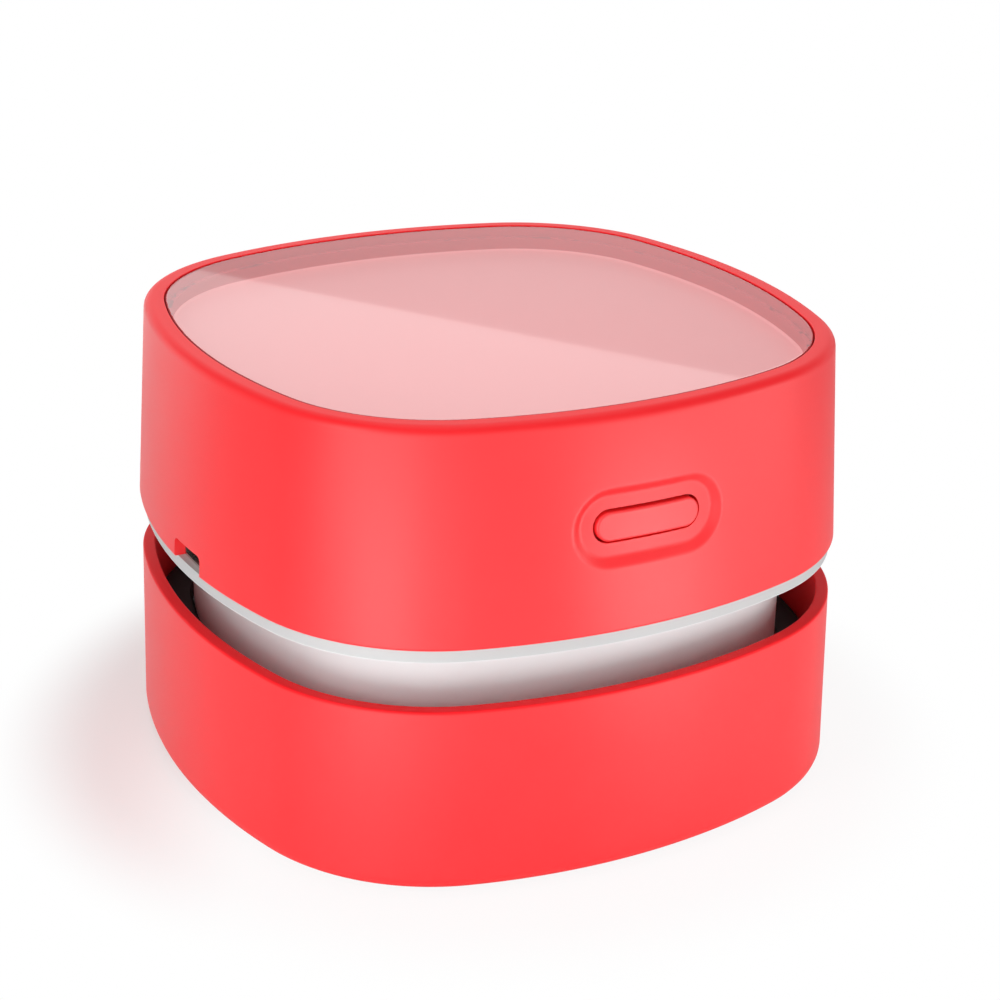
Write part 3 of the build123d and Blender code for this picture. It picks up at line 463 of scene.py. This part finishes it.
def plated_metal(name, colour, roughness, stain=0.06, grain=0.25 * MM):
    """Plated or ground metal with fine scratches and a slightly uneven plate."""
    material, graph = new_material(name)
    place = graph.place()
    plate = graph.noise(place, 2.5 * MM, 3.0)
    stretched = graph.add(
        "ShaderNodeMapping", {}, {"Vector": place, "Scale": (1, 1, 0.12), "Rotation": (0.3, 0.2, 0.0)}
    )
    scratches = graph.noise(stretched, grain, 4.0)
    shader = graph.add("ShaderNodeBsdfPrincipled", {}, {
        "Base Color": graph.mix(plate, lighter(colour, -stain), lighter(colour, stain)),
        "Metallic": 1.0,
        "Roughness": roughness + 0.1 * (plate - 0.5) + 0.12 * (scratches - 0.5),
        "Normal": graph.bump(scratches, 2e-6),
    })
    close_material(graph, shader)
    return material


def grainy_solid(name, colour, roughness, grain=0.2 * MM, relief=8e-6):
    """Pressed or sintered powder: dark, matt and grainy."""
    material, graph = new_material(name)
    place = graph.place()
    grains = graph.add("ShaderNodeTexVoronoi", {}, {"Vector": place, "Scale": 1 / grain})
    # Grain centres are painted lighter and made a little less rough: a painted glint on each grain.
    painted_glint = graph.ease(grains["Distance"], 0.1, 0.9)
    shader = graph.add("ShaderNodeBsdfPrincipled", {}, {
        "Base Color": graph.mix(painted_glint, lighter(colour, 0.08), colour),
        "Roughness": roughness + 0.15 * (painted_glint - 0.5),
        "Normal": graph.bump(grains, relief),
    })
    close_material(graph, shader)
    return material


def circuit_board(name, colour):
    """Solder mask over copper tracks, which show as slightly raised, lighter lines."""
    material, graph = new_material(name)
    place = graph.place()
    tracks = graph.add("ShaderNodeTexBrick", {"offset": 0.37, "squash": 0.6}, {
        "Vector": place,
        "Scale": 1.0,
        "Mortar Size": 0.12 * MM,
        "Mortar Smooth": 0.2,
        "Brick Width": 2.6 * MM,
        "Row Height": 0.8 * MM,
    }, out="Fac")
    fleck = graph.noise(place, 0.4 * MM, 2.0)
    shader = graph.add("ShaderNodeBsdfPrincipled", {}, {
        "Base Color": graph.mix(tracks, colour, lighter(colour, 0.16)),
        "Roughness": 0.28 + 0.1 * fleck,
        "Normal": graph.bump(tracks, 3e-5),
    })
    close_material(graph, shader)
    return material


def winding(name, colour):
    """Enamelled wire, wound turn beside turn."""
    material, graph = new_material(name)
    place = graph.place()
    turns = graph.add("ShaderNodeTexWave", {"bands_direction": "Z"}, {
        "Vector": place, "Scale": 1 / (0.3 * MM) / 3.2, "Distortion": 0.6, "Detail": 1.0,
    }, out="Fac")
    # The grooves between turns are painted darker as shade.
    shader = graph.add("ShaderNodeBsdfPrincipled", {}, {
        "Base Color": graph.mix(turns, lighter(colour, -0.45), colour),
        "Metallic": 0.8,
        "Roughness": 0.24 + 0.16 * (1 - turns),
        "Normal": graph.bump(turns, 8e-5),
    })
    close_material(graph, shader)
    return material


def open_foam(name, colour):
    """Open-cell sponge: rounded cells, with painted shade in their mouths and painted light on the struts."""
    material, graph = new_material(name)
    place = graph.place()
    cells = graph.add(
        "ShaderNodeTexVoronoi", {"feature": "SMOOTH_F1"}, {"Vector": place, "Scale": 1 / (0.7 * MM)}
    )
    strut = graph.ease(cells["Distance"], 0.25, 0.6)
    shader = graph.add("ShaderNodeBsdfPrincipled", {}, {
        "Base Color": graph.mix(strut, lighter(colour, -0.7), lighter(colour, 0.2)),
        "Roughness": 0.85 + 0.1 * (strut - 0.5),
        "Sheen Weight": 0.3,
        "Normal": graph.bump(strut, 2e-4),
    })
    close_material(graph, shader)
    return material


def bristle_nylon(name, colour):
    """Drawn nylon: glossy filaments whose tone differs a little from one to the next."""
    material, graph = new_material(name)
    place = graph.place()
    tone = graph.noise(place, 0.35 * MM, 1.0)
    shader = graph.add("ShaderNodeBsdfPrincipled", {}, {
        "Base Color": graph.mix(tone, lighter(colour, -0.5), lighter(colour, 0.06)),
        "Roughness": 0.3 + 0.15 * tone,
        "Normal": graph.bump(tone, 2e-6),
    })
    close_material(graph, shader)
    return material


def woven_nylon(name, colour, pitch, wire):
    """A square weave of wires: open between them, and rounded across each one."""
    material, graph = new_material(name)
    across = graph.add("ShaderNodeSeparateXYZ", {}, {0: graph.place()})
    strands = [
        1 - graph.ease(graph.math("PINGPONG", across[axis], pitch / 2), 0.6 * wire, wire) for axis in "XY"
    ]
    weave = graph.math("MAXIMUM", *strands)
    # Each wire's edges are painted darker as shade, fading out where the weave turns clear.
    shader = graph.add("ShaderNodeBsdfPrincipled", {}, {
        "Base Color": graph.mix(weave, lighter(colour, -0.6), colour),
        "Roughness": 0.4 + 0.2 * (1 - weave),
        "Alpha": weave,
        "Normal": graph.bump(weave, 1e-4),
    })
    close_material(graph, shader)
    return material


def clear_acrylic(name):
    """A polished clear plate: it mirrors by Fresnel's law on its outer side, and lets the rest through."""
    material, graph = new_material(name)
    outside = 1 - graph.add("ShaderNodeNewGeometry", out="Backfacing")
    mirrored = graph.add("ShaderNodeFresnel", {}, {"IOR": 1.49}) * outside
    swirl = graph.noise(graph.place(), 9 * MM, 2.0)
    polish = graph.add("ShaderNodeBsdfPrincipled", {}, {
        "Base Color": (1.0, 1.0, 1.0),
        "Metallic": 1.0,
        "Roughness": 0.015 + 0.02 * swirl,
    })
    through = graph.add("ShaderNodeBsdfTransparent", {}, {"Color": (0.985, 0.975, 0.975)})
    shader = graph.add("ShaderNodeMixShader", {}, {0: mirrored, 1: through, 2: polish})
    close_material(graph, shader)
    return material


def sawn_acrylic(name, outside, inside):
    """The frosted rim of the window, with painted light: a painted groove shadow seen from outside, and from
    within a painted reflection of the tray's wall.
    """
    material, graph = new_material(name)
    within = graph.add("ShaderNodeNewGeometry", out="Backfacing")
    haze = graph.noise(graph.place(), 0.5 * MM, 2.0)
    shader = graph.add("ShaderNodeBsdfPrincipled", {}, {
        "Base Color": graph.mix(within, outside, inside),
        "Roughness": 0.45 + 0.1 * haze,
        "Specular IOR Level": 0.3,
        "Normal": graph.bump(haze, 3e-6),
    })
    close_material(graph, shader)
    return material


# Heights between which a finish gives way to a copy with painted shade: on the white frame's band, the cup's
# lip and the rim's top.
BAND_SHADE_FROM, BAND_SHADE_TO = 30.02 * MM, 30.12 * MM
LIP_SHADE_FROM, LIP_SHADE_TO = 23.5 * MM, 23.85 * MM
RIM_SHADE_FROM, RIM_SHADE_TO = 56.4 * MM, 57.3 * MM

PINK = (0.92, 0.31, 0.32)
RED = (0.97, 0.013, 0.019)
WHITE = (0.81, 0.84, 0.845)
# Painted shade: the white frame's band under the housing is the same white plastic, painted darker.
BAND_SHADE_WHITE = (0.54, 0.56, 0.56)

finishes = {
    # Painted shade on the rim's top: above these heights the red shell's reflection is cut down.
    "red_shell": moulded_plastic(
        "red_shell", RED, 0.4, specular=0.58, mottle=0.012, upper=(RED, 0.15, RIM_SHADE_FROM, RIM_SHADE_TO)
    ),
    "red_button": moulded_plastic("red_button", lighter(RED, 0.01), 0.38, specular=0.6, mottle=0.012),
    "clear_window": clear_acrylic("clear_window"),
    "pink_tray": moulded_plastic("pink_tray", PINK, 0.5, specular=0.25, relief=2e-6, mottle=0.015),
    "white_frame": moulded_plastic(
        "white_frame", WHITE, 0.45, upper=(BAND_SHADE_WHITE, 0.5, BAND_SHADE_FROM, BAND_SHADE_TO)
    ),
    "black_rubber": soft_rubber("black_rubber", (0.014, 0.006, 0.007), 0.7),
    "black_foam": soft_rubber("black_foam", (0.03, 0.03, 0.032), 0.85, relief=4e-5),
    "clear_silicone": silicone("clear_silicone", (0.78, 0.77, 0.76)),
    "black_plastic": moulded_plastic(
        "black_plastic", (0.022, 0.022, 0.024), 0.48, grain=0.2 * MM, relief=8e-6
    ),
    "black_bristle": bristle_nylon("black_bristle", (0.02, 0.02, 0.022)),
    "zinc_steel": plated_metal("zinc_steel", (0.62, 0.63, 0.66), 0.28),
    "polished_steel": plated_metal("polished_steel", (0.68, 0.68, 0.69), 0.16, stain=0.02, grain=0.15 * MM),
    "white_fan": moulded_plastic("white_fan", (0.74, 0.74, 0.72), 0.4),
    "ferrite": grainy_solid("ferrite", (0.035, 0.035, 0.038), 0.5),
    "carbon": grainy_solid("carbon", (0.02, 0.02, 0.022), 0.62, grain=0.12 * MM),
    "nickel_tab": plated_metal("nickel_tab", (0.6, 0.58, 0.54), 0.24),
    "copper_winding": winding("copper_winding", (0.62, 0.26, 0.11)),
    "cell_sleeve": moulded_plastic("cell_sleeve", (0.03, 0.11, 0.4), 0.22, grain=1.5 * MM, relief=2e-5),
    "green_board": circuit_board("green_board", (0.01, 0.12, 0.035)),
    "chip_black": grainy_solid("chip_black", (0.02, 0.02, 0.021), 0.55, grain=0.1 * MM, relief=4e-6),
    "lead_sleeve": soft_rubber("lead_sleeve", (0.03, 0.03, 0.03), 0.42, relief=2e-6),
    "nylon_mesh": woven_nylon("nylon_mesh", (0.6, 0.6, 0.6), MESH_PITCH, WIRE_RADIUS),
    "grey_sponge": open_foam("grey_sponge", (0.07, 0.07, 0.075)),
}
# The cup's red, with painted shade on the lip's top under the head: its reflection is cut down there.
cup_red_shaded_lip = moulded_plastic(
    "cup_red_shaded_lip", RED, 0.4, specular=0.58, mottle=0.012, upper=(RED, 0.05, LIP_SHADE_FROM, LIP_SHADE_TO)
)
# Painted light on the window's rim: a dark red painted groove shadow from outside, and a painted reflection
# of the tray's shaded wall from within.
painted_window_rim = sawn_acrylic("painted_window_rim", (0.4, 0.01, 0.015), (0.62, 0.03, 0.045))
# Painted shade: the tray's wall and the wall's top, painted darker red than its pink floor.
tray_wall_shade = moulded_plastic("tray_wall_shade", (0.62, 0.03, 0.045), 0.6, specular=0.2, relief=2e-6, mottle=0.03)

for part in frame["record"]["subparts"]:
    surface = frame["nodes"][part["node"]].data.materials
    surface.clear()
    surface.append(finishes[part["material_slot"]])


# ================================================================ upper housing
housing_low, housing_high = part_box("upper_housing")
housing_z = housing_low.z
housing_top_z = housing_high.z
housing_height = housing_top_z - housing_z
tray_low, tray_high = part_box("display_tray")
button_low, button_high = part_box("power_button")
button_z = (button_low.z + button_high.z) / 2


def wall_inset(height):
    """Inset of the upper housing's drafted outer face at a height."""
    return HOUSING_DRAFT * (height - housing_z) / housing_height


def ramp_area(share):
    """The area under a ramp that rises from 0 to 1 and then stays there."""
    inside = min(max(share, 0), 1)
    return inside * inside / 2 + max(share - 1, 0)


def dish_press(station, inset, height):
    """Adds the depth of the dished recess round the button to an inset on the front wall."""
    spot = station.square(inset)
    if spot.y > 0 or abs(inset - wall_inset(height)) > EDGE:
        return inset
    beyond = max(abs(spot.x) - (DISH_LENGTH - DISH_HEIGHT) / 2, 0)
    inwards = DISH_HEIGHT / 2 - sqrt(beyond**2 + (height - button_z) ** 2)
    share = inwards / DISH_BEVEL
    rise = ramp_area(share + DISH_SOFTNESS) - ramp_area(share - DISH_SOFTNESS)
    return inset + DISH_DEPTH * rise / (2 * DISH_SOFTNESS)


def slot_outline(width, height, steps=24):
    """The outline of an upright slot with round ends, in the XZ plane, about its middle."""
    radius = height / 2
    points = []
    for side in (1, -1):
        for step in range(steps + 1):
            angle = side * (pi / 2 - pi * step / steps)
            across = side * ((width - height) / 2 + radius * cos(angle))
            points.append(Vector((across, 0, radius * sin(angle))))
    return points


def arch_outline(width, height, radius, steps=8):
    """The outline of the socket's notch, in the YZ plane, from below its sill, with rounded upper corners."""
    points = [Vector((0, -width / 2, -height)), Vector((0, width / 2, -height))]
    for side, start in ((1, 0), (-1, pi / 2)):
        centre = Vector((0, side * (width / 2 - radius), height - radius))
        for step in range(steps + 1):
            angle = start + pi / 2 * step / steps
            points.append(centre + Vector((0, cos(angle), sin(angle))) * radius)
    return points


def build_upper_housing():
    """Drafted shell with a rounded rim, the window's opening, the button's dish and slot, and the notch."""
    dish_low = button_z - DISH_HEIGHT / 2 - DISH_MARGIN
    dish_high = button_z + DISH_HEIGHT / 2 + DISH_MARGIN
    levels = spread(dish_low, dish_high, round((dish_high - dish_low) / DISH_PITCH))
    ledge_z = tray_low.z - TRAY_LEDGE_THICKNESS
    rows = square_rows([
        (0, housing_z, SKIRT_ROUND),
        *[(wall_inset(level), level, 0) for level in levels],
        (HOUSING_DRAFT, housing_top_z, RIM_ROUND),
        (WINDOW_INSET, housing_top_z, EDGE),
        (WINDOW_INSET, tray_low.z, 0),
        (WINDOW_INSET + TRAY_LEDGE_WIDTH, tray_low.z, EDGE),
        (WINDOW_INSET + TRAY_LEDGE_WIDTH, ledge_z, EDGE),
        (HOUSING_WALL + wall_inset(ledge_z), ledge_z, EDGE),
        (HOUSING_WALL, housing_z, EDGE),
    ])
    housing = skin("housing_shell", rows, outline_stations(fine_side=3), press=dish_press)
    wall = Vector((0, HALF - 3 * HOUSING_WALL, 0))
    slot = prism(
        "button_slot",
        slot_outline(BUTTON_WIDTH + 2 * RUNNING_GAP, BUTTON_HEIGHT + 2 * RUNNING_GAP),
        Vector((0, -HALF, button_z)),
        Vector((0, -wall.y, button_z)),
    )
    notch = prism(
        "socket_notch",
        arch_outline(NOTCH_WIDTH, NOTCH_HEIGHT, NOTCH_ROUND),
        Vector((-HALF - HOUSING_WALL, SOCKET_Y, housing_z)),
        Vector((-wall.y, SOCKET_Y, housing_z)),
    )
    combine(housing, [slot, notch], "DIFFERENCE")
    dress(housing, "head", "upper_housing", "red_shell")


def build_display_tray():
    """Pink tray with a low wall, seen through the window. The wall and its top are painted darker red as
    shade.
    """
    outer = WINDOW_INSET + FIT_GAP
    inner = outer + TRAY_WALL
    floor_z = tray_low.z + TRAY_FLOOR
    rows = square_rows([
        (FLOOR_INSET, tray_low.z, 0),
        (outer, tray_low.z, EDGE),
        (outer, tray_high.z, EDGE / 2),
        (inner, tray_high.z, EDGE / 2),
        (inner, floor_z, TRAY_ROUND),
        (FLOOR_INSET, floor_z, 0),
    ])
    tray = skin("tray_dish", rows, outline_stations(), closed=False)
    paint_sides(tray, finishes["pink_tray"], tray_wall_shade, TRAY_STEEPNESS, level=floor_z + TRAY_ROUND)
    dress(tray, "head", "display_tray", "pink_tray")


def build_top_window():
    """Polished clear plate with a fine chamfer. Its sawn edge is frosted, with a painted groove shadow
    outside and a painted reflection of the tray's wall within.
    """
    low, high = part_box("top_window")
    outer = WINDOW_INSET + FIT_GAP
    rows = square_rows([
        (FLOOR_INSET, low.z, 0),
        (outer, low.z, EDGE / 2),
        (outer, high.z, WINDOW_ROUND),
        (FLOOR_INSET, high.z, 0),
    ])
    window = skin("window_plate", rows, outline_stations(), closed=False)
    paint_sides(window, finishes["clear_window"], painted_window_rim, WINDOW_STEEPNESS)
    dress(window, "head", "top_window", "clear_window")


# ================================================================ dust cup and what it carries
cup_low, cup_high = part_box("dust_cup")
chamber_radius = PAN_RADIUS + CUP_FLOOR
foot_radial = (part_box("glide_feet")[1].x - FOOT_RADIUS) * sqrt(2)
ledge_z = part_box("filter_mesh")[0].z


def disc_cutter(name, radius, x, y, low, high):
    """An upright cylinder about a place, for cutting and joining."""
    outline = [Vector((radius * cos(angle), radius * sin(angle), 0)) for angle in spread(0, 2 * pi, 48)]
    return prism(name, outline, Vector((x, y, low)), Vector((x, y, high)))


def corners_at(radial):
    """Four places on the diagonals of the body, at a distance from its axis."""
    side = radial / sqrt(2)
    return [(x, y) for x in (-side, side) for y in (-side, side)]


def build_dust_cup():
    """Flared cup with a rounded base edge, a fine lip, the plug's ledge and the chamber's round hole."""
    base = CUP_RIM_INSET - CUP_FLARE
    inside = CUP_RIM_INSET + CUP_LIP
    floor_z = cup_low.z + CUP_FLOOR
    hole = chamber_radius + FIT_GAP
    rows = square_rows([
        (FLOOR_INSET, cup_low.z, 0),
        (base, cup_low.z, CUP_BASE_ROUND),
        (CUP_RIM_INSET, cup_high.z, LIP_EDGE),
        (inside, cup_high.z, LIP_EDGE),
        (inside, ledge_z, EDGE),
        (inside + LEDGE_WIDTH, ledge_z, EDGE),
        (inside + LEDGE_WIDTH, ledge_z - LEDGE_THICKNESS, EDGE),
        (inside, ledge_z - LEDGE_THICKNESS, EDGE),
        (inside, floor_z, CUP_FLOOR_ROUND),
        (FLOOR_INSET, floor_z, 0),
    ])
    rows += [("round", hole, floor_z), ("round", hole, cup_low.z)]
    cup = skin("cup_shell", rows, outline_stations())
    recesses = [
        disc_cutter(f"foot_recess_{index}", FOOT_RADIUS + FIT_GAP, x, y, 0, cup_low.z + FOOT_RECESS)
        for index, (x, y) in enumerate(corners_at(foot_radial))
    ]
    combine(cup, recesses, "DIFFERENCE")
    cup.data.materials.append(cup_red_shaded_lip)
    dress(cup, "dust_bin", "dust_cup", "red_shell")


def build_bristles():
    """Two rings of nylon tufts under the brush ring. Each tuft fans out a little towards its tips."""
    low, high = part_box("bristle_tufts")
    middle = (high.x - low.x) / 2 - TUFT_ROW_OFFSET
    graph = Graph(bpy.data.node_groups.new("tuft_ring", "GeometryNodeTree"))
    inputs = {}
    for name, kind in (
        ("Ring Radius", "NodeSocketFloat"), ("Tufts", "NodeSocketInt"), ("Tuft Radius", "NodeSocketFloat"),
        ("Filaments", "NodeSocketInt"), ("Filament Radius", "NodeSocketFloat"), ("Root", "NodeSocketFloat"),
        ("Length", "NodeSocketFloat"), ("Splay", "NodeSocketFloat"), ("Stray", "NodeSocketFloat"),
        ("Finish", "NodeSocketMaterial"),
    ):
        inputs[name] = graph.tree.interface.new_socket(name, in_out="INPUT", socket_type=kind).identifier
    graph.tree.interface.new_socket("Geometry", in_out="OUTPUT", socket_type="NodeSocketGeometry")
    given = graph.add("NodeGroupInput")
    index = graph.add("GeometryNodeInputIndex")
    reach = given["Tuft Radius"] * graph.math("SQRT", (index + 0.5) / given["Filaments"])
    turn = index * GOLDEN_ANGLE
    out_x = reach * graph.math("COSINE", turn)
    out_y = reach * graph.math("SINE", turn)
    lean = given["Splay"] / given["Tuft Radius"]
    stray = graph.add("FunctionNodeRandomValue", {"data_type": "FLOAT_VECTOR"}, {
        "Min": (-1, -1, 0), "Max": (1, 1, 0), "Seed": 5,
    })
    stray = graph.add("ShaderNodeSeparateXYZ", {}, {0: stray})
    axis = graph.add("ShaderNodeCombineXYZ", {}, {
        "X": stray["X"] * given["Stray"] - out_x * lean,
        "Y": stray["Y"] * given["Stray"] - out_y * lean,
        "Z": 1.0,
    })
    root = graph.add("ShaderNodeCombineXYZ", {}, {"X": out_x, "Y": out_y})
    roots = graph.add("GeometryNodePoints", {}, {"Count": given["Filaments"], "Position": root})
    cone = graph.add("GeometryNodeMeshCone", {}, {
        "Vertices": 5, "Side Segments": 2, "Radius Top": given["Filament Radius"],
        "Radius Bottom": given["Filament Radius"] * 0.7, "Depth": given["Length"],
    })
    down = graph.add("ShaderNodeCombineXYZ", {}, {"Z": 0 - given["Length"]})
    hung = graph.add("GeometryNodeTransform", {}, {"Geometry": cone, "Translation": down})
    aim = graph.add("FunctionNodeAlignRotationToVector", {"axis": "Z"}, {"Vector": axis})
    tuft = graph.add("GeometryNodeInstanceOnPoints", {}, {"Points": roots, "Instance": hung, "Rotation": aim})
    ring = graph.add("GeometryNodeMeshCircle", {}, {
        "Vertices": given["Tufts"], "Radius": given["Ring Radius"],
    })
    level = graph.add("ShaderNodeCombineXYZ", {}, {"Z": given["Root"]})
    seats = graph.add("GeometryNodeTransform", {}, {"Geometry": ring, "Translation": level})
    spin = graph.add("FunctionNodeRandomValue", {"data_type": "FLOAT"}, {2: 0.0, 3: 2 * pi, "Seed": 9}, out=1)
    spun = graph.add("ShaderNodeCombineXYZ", {}, {"Z": spin})
    ringed = graph.add("GeometryNodeInstanceOnPoints", {}, {
        "Points": seats, "Instance": tuft, "Rotation": spun,
    })
    real = graph.add("GeometryNodeRealizeInstances", {}, {"Geometry": ringed})
    dressed = graph.add("GeometryNodeSetMaterial", {}, {"Geometry": real, "Material": given["Finish"]})
    graph.add("NodeGroupOutput", {}, {"Geometry": dressed})
    for name, radius, count in (
        ("bristles_outer", middle + TUFT_ROW_OFFSET, OUTER_TUFTS),
        ("bristles_inner", middle - TUFT_ROW_OFFSET, INNER_TUFTS),
    ):
        brush = make_object(name, [], [])
        modifier = brush.modifiers.new("tufts", "NODES")
        modifier.node_group = graph.tree
        for label, value in (
            ("Ring Radius", radius), ("Tufts", count), ("Tuft Radius", TUFT_SPREAD), ("Filaments", FILAMENTS),
            ("Filament Radius", FILAMENT_RADIUS), ("Root", high.z), ("Length", high.z - low.z),
            ("Splay", FILAMENT_SPLAY), ("Stray", FILAMENT_STRAY), ("Finish", finishes["black_bristle"]),
        ):
            modifier[inputs[label]] = value
        bake(brush)
        dress(brush, "dust_bin", "bristle_tufts", "black_bristle")


build_upper_housing()
build_display_tray()
build_top_window()
build_dust_cup()
build_bristles()

# ================================================================ floor, light and camera
CAMERA_PLACE = Vector((-121.31, -228.44, 137.61)) * MM
CAMERA_AZIMUTH = -28.533
CAMERA_ELEVATION = 22.288
CAMERA_ROLL = 1.104
CAMERA_LENS = 77.22
FLOOR_REACH = 6.0
FLOOR_COLOUR = 0.82
FLOOR_LIFT = 0.14
FLOOR_SATIN = 0.3
FLOOR_SHADE = 0.1
FLOOR_GLOW = 0.62
GLOW_SLANT = 0.5
GLOW_NEAR = 50 * MM
GLOW_FAR = 66 * MM
GLOW_LEFT = -56 * MM
GLOW_RIGHT = -30 * MM
AMBIENT = 0.24

# The lamps stand in rings round the object. Each is an azimuth and a radiance, and its width is a share
# of its distance.
LAMP_SPREAD = 2 * tan(radians(11))
PANEL_DISTANCE = 0.19
PANEL_HEIGHT = 0.1
PANELS = (
    (100, 0.7), (125, 0.85), (205, 1.9), (228, 1.5), (252, 0.75),
    (275, 0.5), (295, 0.9), (318, 2.0), (340, 0.3),
)
STRIP_DISTANCE = 0.115
STRIP_HEIGHT = 0.03
STRIPS = ((200, 0.5), (222, 2.6), (244, 1.0), (290, 4.0))
OVERHEAD_SIZE = 0.12
OVERHEAD_HEIGHT = 0.16
OVERHEAD_RADIANCE = 1.75


def build_camera():
    azimuth, elevation, roll = radians(CAMERA_AZIMUTH), radians(CAMERA_ELEVATION), radians(CAMERA_ROLL)
    back = Vector((sin(azimuth) * cos(elevation), -cos(azimuth) * cos(elevation), sin(elevation)))
    level = Vector((cos(azimuth), sin(azimuth), 0))
    upright = back.cross(level)
    right = level * cos(roll) + upright * sin(roll)
    up = upright * cos(roll) - level * sin(roll)
    camera = bpy.data.objects.new("camera", bpy.data.cameras.new("camera"))
    camera.data.lens = CAMERA_LENS
    camera.data.clip_start = 10 * MM
    camera.matrix_world = Matrix.Translation(CAMERA_PLACE) @ Matrix((right, up, back)).transposed().to_4x4()
    bpy.context.scene.collection.objects.link(camera)
    bpy.context.scene.camera = camera


def build_floor():
    """Matt white floor that reads as white away from the object. Near it the white gives way and the rendered
    shadow shows, and most in a painted patch to its left, where the red light that the cup throws on it shows
    too."""
    corners = [(-FLOOR_REACH, -FLOOR_REACH, 0), (FLOOR_REACH, -FLOOR_REACH, 0)]
    corners += [(FLOOR_REACH, FLOOR_REACH, 0), (-FLOOR_REACH, FLOOR_REACH, 0)]
    floor = make_object("floor", corners, [(0, 1, 2, 3)])
    material, graph = new_material("floor")
    place = graph.place()
    distance = graph.add("ShaderNodeVectorMath", {"operation": "LENGTH"}, {0: place}, out="Value")
    near = 1 - graph.ease(distance, GLOW_NEAR, GLOW_FAR)
    across = graph.add("ShaderNodeSeparateXYZ", {}, {0: place})
    # A painted patch to the object's left, where the white gives way most and the rendered shadow and red
    # bounce show.
    left = 1 - graph.ease(across["X"] - GLOW_SLANT * across["Y"], GLOW_LEFT, GLOW_RIGHT)
    rays = graph.add("ShaderNodeLightPath")
    seen = graph.math("MAXIMUM", rays["Is Camera Ray"], rays["Is Transmission Ray"])
    white = 1 - near * (FLOOR_SHADE + (FLOOR_GLOW - FLOOR_SHADE) * left)
    matt = graph.add("ShaderNodeBsdfDiffuse", {}, {"Color": FLOOR_COLOUR + FLOOR_LIFT * seen})
    satin = graph.add("ShaderNodeBsdfAnisotropic", {}, {"Color": (1, 1, 1), "Roughness": 0.3})
    lit = graph.add("ShaderNodeMixShader", {}, {0: rays["Is Glossy Ray"] * FLOOR_SATIN, 1: matt, 2: satin})
    plain = graph.add("ShaderNodeEmission", {}, {"Color": (1, 1, 1), "Strength": 1.0})
    shader = graph.add("ShaderNodeMixShader", {}, {0: white * seen, 1: lit, 2: plain})
    close_material(graph, shader)
    floor.data.materials.append(material)


def build_world(ambient):
    """White to the camera and in reflections, and a softer level for what it lights."""
    world = bpy.data.worlds.new("studio")
    bpy.context.scene.world = world
    world.use_nodes = True
    world.node_tree.nodes.clear()
    graph = Graph(world.node_tree)
    rays = graph.add("ShaderNodeLightPath")
    seen = graph.math("MAXIMUM", rays["Is Camera Ray"], rays["Is Glossy Ray"])
    seen = graph.math("MAXIMUM", seen, rays["Is Transmission Ray"])
    level = ambient + (1 - ambient) * seen
    sky = graph.add("ShaderNodeBackground", {}, {"Color": (1, 1, 1), "Strength": level})
    graph.add("ShaderNodeOutputWorld", {}, {"Surface": sky})


def area_lamp(name, width, height, radiance, middle, across, upright):
    """A rectangular lamp of even radiance. It shines against the cross product of across and upright."""
    lamp = bpy.data.lights.new(name, "AREA")
    lamp.shape = "RECTANGLE"
    lamp.size = width
    lamp.size_y = height
    lamp.energy = radiance * pi * width * height
    box = bpy.data.objects.new(name, lamp)
    turn = Matrix((across, upright, across.cross(upright))).transposed().to_4x4()
    box.matrix_world = Matrix.Translation(middle) @ turn
    box.visible_camera = False
    bpy.context.scene.collection.objects.link(box)


def softbox(name, azimuth, distance, base, height, width, radiance, tilt=0.0, shift=0.0):
    """An upright lamp that faces the object. Azimuth 0 is towards +X, 90 towards +Y."""
    angle, lean = radians(azimuth), radians(tilt)
    outwards = Vector((cos(angle), sin(angle), 0))
    sideways = Vector((-sin(angle), cos(angle), 0))
    across = sideways * cos(lean) + Vector((0, 0, sin(lean)))
    upright = outwards.cross(across)
    foot = outwards * distance + sideways * shift + Vector((0, 0, base))
    area_lamp(name, width, height, radiance, foot + upright * height / 2, across, upright)


build_camera()
build_floor()
build_world(AMBIENT)
for kind, distance, height, ring in (
    ("panel", PANEL_DISTANCE, PANEL_HEIGHT, PANELS),
    ("strip", STRIP_DISTANCE, STRIP_HEIGHT, STRIPS),
):
    for azimuth, radiance in ring:
        softbox(f"{kind}_{azimuth}", azimuth, distance, 0, height, distance * LAMP_SPREAD, radiance)
softbox("high_panel", azimuth=200, distance=0.3, base=0.1, height=0.3, width=0.128, radiance=2.8)
softbox(
    "window_panel", azimuth=61.47, distance=0.4, base=186.5 * MM, height=0.1, width=0.34, radiance=0.6,
    tilt=-10.56, shift=6.6 * MM,
)
area_lamp(
    "overhead", OVERHEAD_SIZE, OVERHEAD_SIZE, OVERHEAD_RADIANCE,
    Vector((0, 0, OVERHEAD_HEIGHT)), Vector((1, 0, 0)), Vector((0, 1, 0)),
)

bpy.context.scene.view_settings.view_transform = "Standard"
